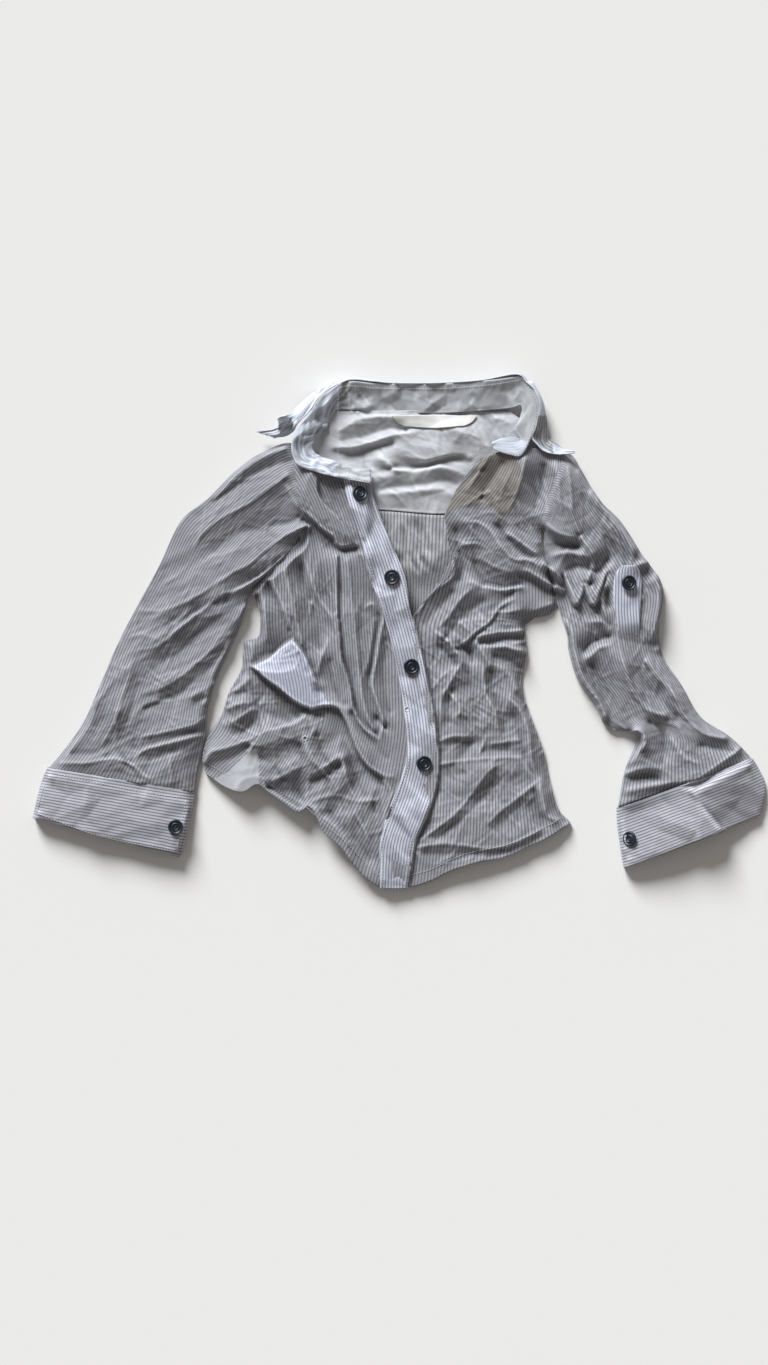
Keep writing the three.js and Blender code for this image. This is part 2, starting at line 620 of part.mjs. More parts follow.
// Seats a button on a surface: tilted to it, and lifted clear of its highest point under the rim.
function addButton(name, diameter, x, y, surfaceAt) {
  const r = diameter / 2;
  const slopeX = (surfaceAt(x + r, y) - surfaceAt(x - r, y)) / (2 * r);
  const slopeY = (surfaceAt(x, y + r) - surfaceAt(x, y - r)) / (2 * r);
  const level = surfaceAt(x, y);
  let lift = 0;
  for (let angle = 0; angle < 2 * Math.PI; angle += Math.PI / 8) {
    const dx = r * Math.cos(angle);
    const dy = r * Math.sin(angle);
    lift = Math.max(lift, surfaceAt(x + dx, y + dy) - (level + slopeX * dx + slopeY * dy));
  }
  const mesh = new THREE.Mesh(buttonGeometry(diameter), buttonResin);
  mesh.name = name;
  const normal = new THREE.Vector3(-slopeX, -slopeY, 1).normalize();
  mesh.quaternion.setFromUnitVectors(new THREE.Vector3(0, 0, 1), normal);
  mesh.position.set(x, y, level + lift + layerGap);
  shirt.add(mesh);
}

const placketButtons = [
  { x: -41.5, y: 138 },
  { x: -9, y: 55 },
  { x: 10, y: -33.5 },
  { x: 22, y: -130 },
];
placketButtons.forEach(({ x, y }, i) => addButton(`button_${i + 1}`, buttonDiameter, x, y, placketTop));

// A tube's upper layer as a function of x and y near the place (t, s), by a few steps towards it.
function tubeSurface(tube, startT, startS, lift) {
  return (x, y) => {
    let t = startT;
    let s = startS;
    const d = 0.01;
    for (let i = 0; i < 8; i++) {
      const p = tube(t, s);
      const pt = tube(t + d, s);
      const ps = tube(t, s + d);
      const [a, b, c, e] = [(pt.x - p.x) / d, (ps.x - p.x) / d, (pt.y - p.y) / d, (ps.y - p.y) / d];
      const determinant = a * e - b * c;
      t += ((x - p.x) * e - (y - p.y) * b) / determinant;
      s += ((y - p.y) * a - (x - p.x) * c) / determinant;
    }
    return tube(t, s).top + lift;
  };
}
addButton("cuff_button_left", buttonDiameter, -224, -193, tubeSurface(leftCuff, 0.5, 0.8, 0));
addButton("cuff_button_right", buttonDiameter, 230, -205, tubeSurface(rightCuff, 0.5, 0.85, 0));
addButton("tab_button", tabButtonDiameter, 226, 49.5,
  tubeSurface(rightSleeve, 0.38, -0.3, tabLift + clothWall));

export default shirt;
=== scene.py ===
"""Looks of a crumpled button-up shirt that lies flat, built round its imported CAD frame.

The garment is described on a plan: mm, x to the right and y down, seen from above as it lies.
Crease rows (x, y, z) are lines that the cloth passes through at height z above the table; a membrane
is stretched over them, and each cut piece takes its heights from it. One operator builds each piece.
"""

import math

import bpy
import numpy as np
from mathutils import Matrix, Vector


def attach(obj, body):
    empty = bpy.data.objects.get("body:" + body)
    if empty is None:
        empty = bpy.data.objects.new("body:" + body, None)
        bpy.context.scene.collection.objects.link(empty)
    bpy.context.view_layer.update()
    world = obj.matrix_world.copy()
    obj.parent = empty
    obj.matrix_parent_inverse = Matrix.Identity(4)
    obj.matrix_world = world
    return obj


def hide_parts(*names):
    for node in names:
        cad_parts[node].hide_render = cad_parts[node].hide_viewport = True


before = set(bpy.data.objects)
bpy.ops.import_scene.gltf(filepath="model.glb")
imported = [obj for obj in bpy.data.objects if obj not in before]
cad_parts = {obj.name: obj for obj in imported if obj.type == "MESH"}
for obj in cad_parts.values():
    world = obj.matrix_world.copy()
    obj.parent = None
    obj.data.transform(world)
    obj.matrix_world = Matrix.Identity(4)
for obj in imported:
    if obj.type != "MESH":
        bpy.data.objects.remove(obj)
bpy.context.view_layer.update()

bl_info = {
    "name": "Crumpled Shirt",
    "version": (1, 0, 0),
    "blender": (4, 5, 0),
    "location": "View3D > Sidebar > Shirt",
    "description": "Builds a crumpled pinstriped shirt laid flat, piece by piece",
    "category": "Object",
}

MM = 0.001
PLAN_ORIGIN = (401.0, 633.0)  # the plan's point over the frame's origin, mm
SEED = 7

# ---- sizes of the cloth and its meshes, mm ----

CLOTH = 0.45  # thickness of one layer of poplin
BAND = 0.9  # thickness of a turned or fused double layer
SPACING = 1.5  # distance between the vertices of the fine cloth
BACK_SPACING = 2.6  # the same for the back, most of which is covered
STRIP_SPACING = 1.6  # the same for the collar
SMALL_SPACING = 1.4  # the same for the tab and the label
CELL = 1.2  # cell of the height maps
LOWEST = 1.5  # least height of a settled height map
TABLE_GAP = 0.35  # clearance under the sleeves and cuffs

# how far the middle of each piece lies over the height map
FRONT_LIFT = -0.4
BAND_LIFT = 1.6
CUFF_LIFT = 0.9
TAB_LIFT = 1.9
YOKE_LIFT = 0.5
BAND_STITCH_LIFT = 1.75
CUFF_STITCH_LIFT = 1.05
HEM_STITCH_LIFT = -0.25
EYELET_LIFT = 0.4
BAND_EYELET_LIFT = 1.9

# ---- the look of the cloth ----

STRIPE_PITCH = 3.0  # one light and one dark stripe, mm
STRIPE_STRAY = 0.5  # how far a stripe strays from its line, mm
STRAY_SIZE = 8.333  # over about this length, mm
DYE_SIZE = 2.0  # length over which the yarns' colour is uneven, mm
THREAD_PITCH = 0.42  # two threads of the weave, mm
SLUB_SIZE = 1.4286  # thick places in the yarn, coarser than the threads so that a grain shows, mm
RUMPLE_SIZE = 6.667  # soft rumples too small to model, mm
LIGHT_YARN = "#8b8b91"
DARK_YARN = "#626166"
CREST_HIGHLIGHT_AND_WEAR = 0.6  # how much paler a crest is painted: rubbed wear and a painted highlight
HOLLOW_SHADE_AND_DUST = 0.22  # how much darker a hollow is painted: painted shade with a little dust
CREST_PAINT_HEIGHT = 0.45  # a crest this far over the cloth round it gets the full painted highlight and wear, mm

# ---- light and camera ----

KEY = 5.75  # strength of the softbox
KEY_DIRECTION = (-0.38, 0.87, 0.47)  # towards the softbox
KEY_SPREAD = 24  # how wide the softbox looks, degrees
KEY_COLOUR = (0.945, 0.975, 1.0)
FILL = 0.26  # strength of the light from all round
FILL_COLOUR = (1.0, 0.965, 0.92, 1)
VIEW_HEIGHT = 1365.0  # height of the view at the table, mm
VIEW_CENTRE = (384.0, 682.5)  # the plan's point under the camera
CAMERA_HEIGHT = 2.4  # m
SENSOR = 24.0  # mm
FLOOR_HALF = 6.0  # half the side of the floor, m


# ---- curves and grids on the plan ----

def curve(points, count):
    """Smooth curve through rows of numbers, sampled evenly along its plan length."""
    p = np.array(points, float)
    if len(p) == 1:
        return np.repeat(p, count, axis=0)
    gaps = np.maximum(np.linalg.norm(np.diff(p[:, :2], axis=0), axis=1), 1e-6) ** 0.5
    knots = np.concatenate([[0], np.cumsum(gaps)])
    slope = np.diff(p, axis=0) / gaps[:, None]
    tangent = np.empty_like(p)
    tangent[0], tangent[-1] = slope[0], slope[-1]
    if len(p) > 2:
        before, after = gaps[:-1, None], gaps[1:, None]
        tangent[1:-1] = (slope[:-1] * after + slope[1:] * before) / (before + after)
    fine = np.linspace(0, knots[-1], 24 * (len(p) - 1) + 1)
    at = np.clip(np.searchsorted(knots, fine, side="right") - 1, 0, len(p) - 2)
    h = gaps[at][:, None]
    s = ((fine - knots[at]) / gaps[at])[:, None]
    dense = (
        (2 * s**3 - 3 * s**2 + 1) * p[at]
        + (s**3 - 2 * s**2 + s) * h * tangent[at]
        + (3 * s**2 - 2 * s**3) * p[at + 1]
        + (s**3 - s**2) * h * tangent[at + 1]
    )
    run = np.concatenate([[0], np.cumsum(np.linalg.norm(np.diff(dense[:, :2], axis=0), axis=1))])
    wanted = np.linspace(0, run[-1], count)
    return np.stack([np.interp(wanted, run, dense[:, k]) for k in range(p.shape[1])], axis=1)


def length_of(points):
    return float(np.linalg.norm(np.diff(np.array(points, float)[:, :2], axis=0), axis=1).sum())


def panel_grid(edges, spacing=SPACING):
    """Rows of plan points over the patch between four edge curves."""
    columns = max(4, int(max(length_of(edges["top"]), length_of(edges["bottom"])) / spacing))
    rows = max(4, int(max(length_of(edges["left"]), length_of(edges["right"])) / spacing))
    top, bottom = curve(edges["top"], columns + 1), curve(edges["bottom"], columns + 1)
    left, right = curve(edges["left"], rows + 1), curve(edges["right"], rows + 1)
    u = np.linspace(0, 1, columns + 1)[None, :, None]
    v = np.linspace(0, 1, rows + 1)[:, None, None]
    sides = (1 - v) * top[None] + v * bottom[None] + (1 - u) * left[:, None] + u * right[:, None]
    corners = (1 - v) * ((1 - u) * top[0] + u * top[-1]) + v * ((1 - u) * bottom[0] + u * bottom[-1])
    return sides - corners


def ease(value, low, high):
    t = np.clip((value - low) / (high - low), 0, 1)
    return t * t * (3 - 2 * t)


# ---- height maps ----

def relax(values, fixed, steps, over=1.88):
    """Lets free cells settle to the mean of their neighbours, as a stretched membrane does."""
    j, i = np.indices(values.shape)
    colours = [((i + j) % 2 == parity) & ~fixed for parity in (0, 1)]
    for _ in range(steps):
        for cells in colours:
            p = np.pad(values, 1, mode="edge")
            mean = 0.25 * (p[:-2, 1:-1] + p[2:, 1:-1] + p[1:-1, :-2] + p[1:-1, 2:])
            values = np.where(cells, values + over * (mean - values), values)
    return values


def blur(values, times=1):
    for _ in range(times):
        p = np.pad(values, 1, mode="edge")
        p = (p[:, :-2] + 2 * p[:, 1:-1] + p[:, 2:]) / 4
        values = (p[:-2] + 2 * p[1:-1] + p[2:]) / 4
    return values


def add_triangle(patch, corners):
    """Adds a flat triangle's height to the cells of a patch that it covers. Its corners are
    (column, row, z) rows."""
    (x0, y0, z0), (x1, y1, z1), (x2, y2, z2) = corners
    i0, i1 = max(0, math.ceil(min(x0, x1, x2))), min(patch.shape[1] - 1, math.floor(max(x0, x1, x2)))
    j0, j1 = max(0, math.ceil(min(y0, y1, y2))), min(patch.shape[0] - 1, math.floor(max(y0, y1, y2)))
    area = (x1 - x0) * (y2 - y0) - (x2 - x0) * (y1 - y0)
    if i0 > i1 or j0 > j1 or abs(area) < 1e-6:
        return
    gx = np.arange(i0, i1 + 1)[None, :]
    gy = np.arange(j0, j1 + 1)[:, None]
    b = ((gx - x0) * (y2 - y0) - (x2 - x0) * (gy - y0)) / area
    c = ((x1 - x0) * (gy - y0) - (gx - x0) * (y1 - y0)) / area
    held = (b >= 0) & (c > 0) & (b + c <= 1)
    patch[j0:j1 + 1, i0:i1 + 1] += np.where(held, z0 + b * (z1 - z0) + c * (z2 - z0), 0)


PINCH_FADE = 8  # a pressed crease reaches its full height this far from its ends, mm
ZONE_REACH = 1.5  # a zone of facets fades out at this many radii
JITTER = 0.36  # how far a facet's corners stray, as a share of its size
WEIGHT_FLOOR = 0.1  # lets the facets fade where no zone is near
CREASE_LONG = (8, 30)  # half the length of a small crease, mm
CREASE_WIDE = (1.5, 3.2)  # half its width, mm
CREASE_TALL = (0.25, 0.9)  # its height, as a share of its zone's rise
CREASE_MORE = 1.4  # creases laid for each one that a zone counts


class HeightMap:
    """Heights in mm over a rectangle of the plan, held by lines and free between them."""

    def __init__(self, left, top, right, bottom, level):
        self.left, self.top = left, top
        self.shape = (int((bottom - top) / CELL) + 1, int((right - left) / CELL) + 1)
        self.total = np.zeros(self.shape)
        self.weight = np.zeros(self.shape)
        self.level = level

    def line(self, rows):
        """The cloth passes through this line, given as (x, y, z) rows."""
        p = curve(rows, max(2, int(length_of(rows) / (0.5 * CELL))))
        i = np.clip(np.round((p[:, 0] - self.left) / CELL).astype(int), 0, self.shape[1] - 1)
        j = np.clip(np.round((p[:, 1] - self.top) / CELL).astype(int), 0, self.shape[0] - 1)
        np.add.at(self.total, (j, i), p[:, 2])
        np.add.at(self.weight, (j, i), 1)

    def edge(self, rows):
        """A fold's free edge, as (x, y, high, low) rows: high on its left going along, low on its right."""
        p = curve(rows, max(3, int(length_of(rows) / CELL)))
        along = np.gradient(p[:, :2], axis=0)
        along /= np.maximum(np.linalg.norm(along, axis=1), 1e-9)[:, None]
        aside = np.stack([along[:, 1], -along[:, 0]], axis=1)
        for side, column in ((0.8, 2), (-1.6, 3)):
            self.line(np.column_stack([p[:, :2] + aside * side, p[:, column]]))

    def settle(self, gain=1.0, steps=220):
        """Works out the heights between the lines; gain deepens the folds about their own level."""
        height = None
        for factor in (8, 4, 2, 1):
            rows, cols = -(-self.shape[0] // factor), -(-self.shape[1] // factor)
            room = ((0, rows * factor - self.shape[0]), (0, cols * factor - self.shape[1]))
            total = np.pad(self.total, room).reshape(rows, factor, cols, factor).sum((1, 3))
            weight = np.pad(self.weight, room).reshape(rows, factor, cols, factor).sum((1, 3))
            fixed = weight > 0
            if height is None:
                height = np.full((rows, cols), float(self.level))
            else:
                height = np.repeat(np.repeat(height, 2, 0), 2, 1)[:rows, :cols]
            height = np.where(fixed, total / np.maximum(weight, 1e-9), height)
            height = relax(height, fixed, steps)
        level = height
        for step in (1, 2, 4, 8, 16):
            p = np.pad(level, step, mode="edge")
            p = (p[:, :-2 * step] + 2 * p[:, step:-step] + p[:, 2 * step:]) / 4
            level = (p[:-2 * step] + 2 * p[step:-step] + p[2 * step:]) / 4
        self.height = np.maximum(blur(level + gain * (height - level)), LOWEST)

    def pinch(self, rows, tall, wide=2.4, aside=0.0):
        """A pressed crease: a thin sharp ridge along a line of (x, y) rows that fades at its ends, moved
        aside to the left going along."""
        p = curve(rows, max(2, int(length_of(rows) / CELL)))
        along = np.gradient(p, axis=0)
        along /= np.maximum(np.linalg.norm(along, axis=1), 1e-9)[:, None]
        p = p + aside * np.stack([along[:, 1], -along[:, 0]], axis=1)
        from_end = np.minimum(np.arange(len(p)), np.arange(len(p))[::-1]) * CELL
        fade = np.minimum(1, from_end / PINCH_FADE)
        reach = int(wide / CELL) + 1
        ci = ((p[:, 0] - self.left) / CELL).round().astype(int)
        cj = ((p[:, 1] - self.top) / CELL).round().astype(int)
        ridge = {}
        for k in range(len(p)):
            for j in range(max(0, cj[k] - reach), min(self.shape[0], cj[k] + reach + 1)):
                for i in range(max(0, ci[k] - reach), min(self.shape[1], ci[k] + reach + 1)):
                    far = math.hypot(self.left + i * CELL - p[k, 0], self.top + j * CELL - p[k, 1])
                    ridge[j, i] = max(ridge.get((j, i), 0), fade[k] * tall * (1 - far / wide))
        for (j, i), rise in ridge.items():
            self.height[j, i] += rise

    def facets(self, zones, layers, seed):
        """Breaks the cloth into flat facets with sharp creases between them, drawn out along each zone's
        lean; layers hold (width of a facet, how much longer it is, rise) rows."""
        rng = np.random.default_rng(seed)
        total = np.zeros(self.shape)
        weight = np.full(self.shape, WEIGHT_FLOOR)
        for x, y, radius, lean, spread, _, rise in zones:
            reach = ZONE_REACH * radius
            i0 = max(0, int((x - reach - self.left) / CELL))
            j0 = max(0, int((y - reach - self.top) / CELL))
            i1 = min(self.shape[1], int((x + reach - self.left) / CELL) + 1)
            j1 = min(self.shape[0], int((y + reach - self.top) / CELL) + 1)
            if i0 >= i1 or j0 >= j1:
                continue
            gy, gx = np.mgrid[j0:j1, i0:i1]
            gx, gy = self.left + gx * CELL, self.top + gy * CELL
            window = np.clip(1 - ((gx - x) ** 2 + (gy - y) ** 2) / reach**2, 0, 1) ** 2
            patch = np.zeros(window.shape)
            for size, stretch, tall in layers:
                angle = math.radians(lean + 0.3 * spread * rng.normal())
                along_count = int(2 * reach / (size * stretch)) + 4
                aside_count = int(2 * reach / size) + 4
                aside_at, along_at = np.mgrid[0:aside_count, 0:along_count].astype(float)
                along_at += 0.5 * (aside_at % 2) + rng.uniform(-JITTER, JITTER, along_at.shape)
                aside_at += rng.uniform(-JITTER, JITTER, along_at.shape)
                along = (along_at - along_count / 2) * size * stretch
                aside = (aside_at - aside_count / 2) * size
                px = (x + aside * math.cos(angle) + along * math.sin(angle) - gx[0, 0]) / CELL
                py = (y - aside * math.sin(angle) + along * math.cos(angle) - gy[0, 0]) / CELL
                pz = tall * rise * np.clip(rng.normal(size=px.shape), -1.5, 1.5)
                corners = np.stack([px, py, pz], axis=-1)
                for r in range(aside_count - 1):
                    for c in range(along_count - 1):
                        a, b = corners[r, c], corners[r, c + 1]
                        d, e = corners[r + 1, c], corners[r + 1, c + 1]
                        halves = ((a, b, d), (b, e, d)) if r % 2 == 0 else ((a, b, e), (a, e, d))
                        for triangle in halves:
                            add_triangle(patch, triangle)
            total[j0:j1, i0:i1] += window * patch
            weight[j0:j1, i0:i1] += window**2
        self.height += total / np.sqrt(weight)

    def crumple(self, zones, seed):
        """Adds small tent-shaped creases: (x, y, radius, lean, spread, count, rise) rows."""
        rng = np.random.default_rng(seed)
        for x, y, radius, lean, spread, count, rise in zones:
            for _ in range(int(CREASE_MORE * count)):
                far = radius * math.sqrt(rng.random())
                turn = rng.random() * 2 * math.pi
                angle = math.radians(lean + spread * rng.normal())
                long = rng.uniform(*CREASE_LONG)
                wide = rng.uniform(*CREASE_WIDE)
                tall = rise * rng.uniform(*CREASE_TALL) * rng.choice([-0.7, 1.0, 1.0])
                cx, cy = x + far * math.cos(turn), y + far * math.sin(turn)
                self.crease(cx, cy, angle, long, wide, tall)

    def crease(self, x, y, angle, long, wide, tall):
        """One crease: its crest runs along angle (from straight down the plan) and tapers to its ends."""
        reach = int((long + wide) / CELL) + 2
        ci, cj = int((x - self.left) / CELL), int((y - self.top) / CELL)
        i0, i1 = max(0, ci - reach), min(self.shape[1], ci + reach)
        j0, j1 = max(0, cj - reach), min(self.shape[0], cj + reach)
        if i0 >= i1 or j0 >= j1:
            return
        gy, gx = np.mgrid[j0:j1, i0:i1]
        gx, gy = self.left + gx * CELL - x, self.top + gy * CELL - y
        along = gx * math.sin(angle) + gy * math.cos(angle)
        aside = gx * math.cos(angle) - gy * math.sin(angle) + 0.004 * along**2
        crest = np.clip(1 - np.sqrt(aside**2 + 0.5) / wide, 0, 1)
        self.height[j0:j1, i0:i1] += tall * crest * np.clip(1 - (along / long) ** 2, 0, 1)

    def at(self, x, y):
        """Height at plan points, mm."""
        fi = np.clip((x - self.left) / CELL, 0, self.shape[1] - 1.001)
        fj = np.clip((y - self.top) / CELL, 0, self.shape[0] - 1.001)
        i, j = fi.astype(int), fj.astype(int)
        a, b = fi - i, fj - j
        h = self.height
        return (
            (1 - b) * ((1 - a) * h[j, i] + a * h[j, i + 1])
            + b * ((1 - a) * h[j + 1, i] + a * h[j + 1, i + 1])
        )


# ---- the garment's outlines: plan curves in mm ----

LEFT_SLEEVE = [  # outer x, outer y, inner x, inner y, from the sleeve head to the cuff seam
    (288, 443, 303, 530), (262, 453, 293, 549), (236, 471, 276, 566), (209, 498, 252, 590),
    (182, 520, 243, 620), (160, 565, 228, 654), (138, 605, 216, 682), (118, 644, 208, 712),
    (101, 684, 206, 733), (84, 722, 201, 758), (62, 753, 197, 776), (49, 768, 195, 792),
]
LEFT_CUFF = [
    (48, 767, 196, 791), (43, 779, 194, 802), (38, 798, 190, 822), (35.5, 808, 186, 838),
    (33.5, 817, 181, 856),
]
RIGHT_SLEEVE = [
    (571, 455, 543, 530), (584, 476, 545, 552), (600, 502, 550, 575), (620, 522, 555, 596),
    (640, 553, 560, 612), (662, 588, 567, 634), (658, 625, 569, 652), (662, 656, 578, 680),
    (680, 684, 594, 702), (700, 717, 608, 728), (728, 736, 637, 735), (742, 749, 625, 770),
    (751, 759, 618, 807),
]
RIGHT_CUFF = [
    (751, 758, 617, 808), (758, 770, 617.5, 822), (764, 785, 620, 842), (762, 803, 622, 856),
    (759, 815, 624, 867),
]
PLACKET = [  # y, left x, right x
    (473, 341, 369), (484, 344, 371), (510, 350, 378), (545, 362, 392), (578, 371, 405), (609, 382, 410),
    (645, 392, 419), (697, 402, 430), (733, 406, 436), (760, 406, 438), (785, 398, 436), (817, 386, 426),
    (842, 380, 415), (865, 380, 410), (888, 380, 408),
]
FRONT_LEFT = {
    "top": [(289, 446), (301, 455), (323, 461), (345, 473)],
    "left": [(289, 446), (296, 483), (300, 530), (290, 549), (273, 566), (252, 588), (259, 604), (262, 620),
             (259, 638), (246, 642), (244, 655), (243, 669), (230, 694), (223, 716), (209, 738), (204, 760),
             (207, 774)],
    "bottom": [(207, 774), (227, 787), (244, 791.5), (258, 784), (271, 793), (285, 803), (300, 812),
               (308, 805), (315, 812), (324, 831), (342, 847), (354, 864), (368, 879), (382, 888)],
    "right": [(x + 2, y) for y, x, _ in PLACKET],
}
FRONT_RIGHT = {
    "top": [(444, 516), (459, 485), (476, 465), (498, 453), (526, 449), (551, 451), (569, 456)],
    "left": [(444, 516), (448, 545), (452, 571), (435, 591), (415, 613), (400, 640), (408, 673), (414, 708),
             (419, 738), (420, 763), (413, 793), (401, 823), (393, 853), (393, 886)],
    "bottom": [(393, 886), (410, 886.5), (431, 880), (449, 871), (472, 863), (505, 856), (528, 846),
               (551, 835), (569, 823)],
    "right": [(569, 456), (556, 490), (540, 530), (542, 552), (556, 580), (558, 601), (549, 614),
              (525, 622), (525, 655), (520, 685), (528, 713), (543, 755), (550, 790), (558, 811),
              (569, 823)],
}
BACK = {
    "top": [(303, 512), (381, 511.4), (441, 515.4), (491, 512), (542, 512)],
    "left": [(303, 512), (297, 543), (276, 567), (256, 593), (263, 615), (266, 633), (253, 663), (236, 703),
             (218, 743), (213, 768)],
    "bottom": [(213, 768), (256, 777), (303, 799), (318, 815), (349, 848), (379, 876), (411, 880),
               (449, 867), (505, 852), (561, 820)],
    "right": [(542, 512), (541, 543), (551, 575), (555, 600), (533, 619), (519, 633), (516, 683),
              (523, 713), (537, 755), (549, 805), (561, 820)],
}
YOKE = {
    "top": [(333, 412.5), (391, 411.5), (451, 411.5), (509, 412)],
    "left": [(333, 412.5), (309, 430), (293, 446), (298, 483), (303, 511)],
    "bottom": [(303, 511), (381, 510.4), (441, 514.4), (491, 511), (542, 511)],
    "right": [(509, 412), (539, 433), (567, 455), (556, 488), (542, 511)],
}

# ---- where the outer cloth runs: (x, y, z) rows, mm ----

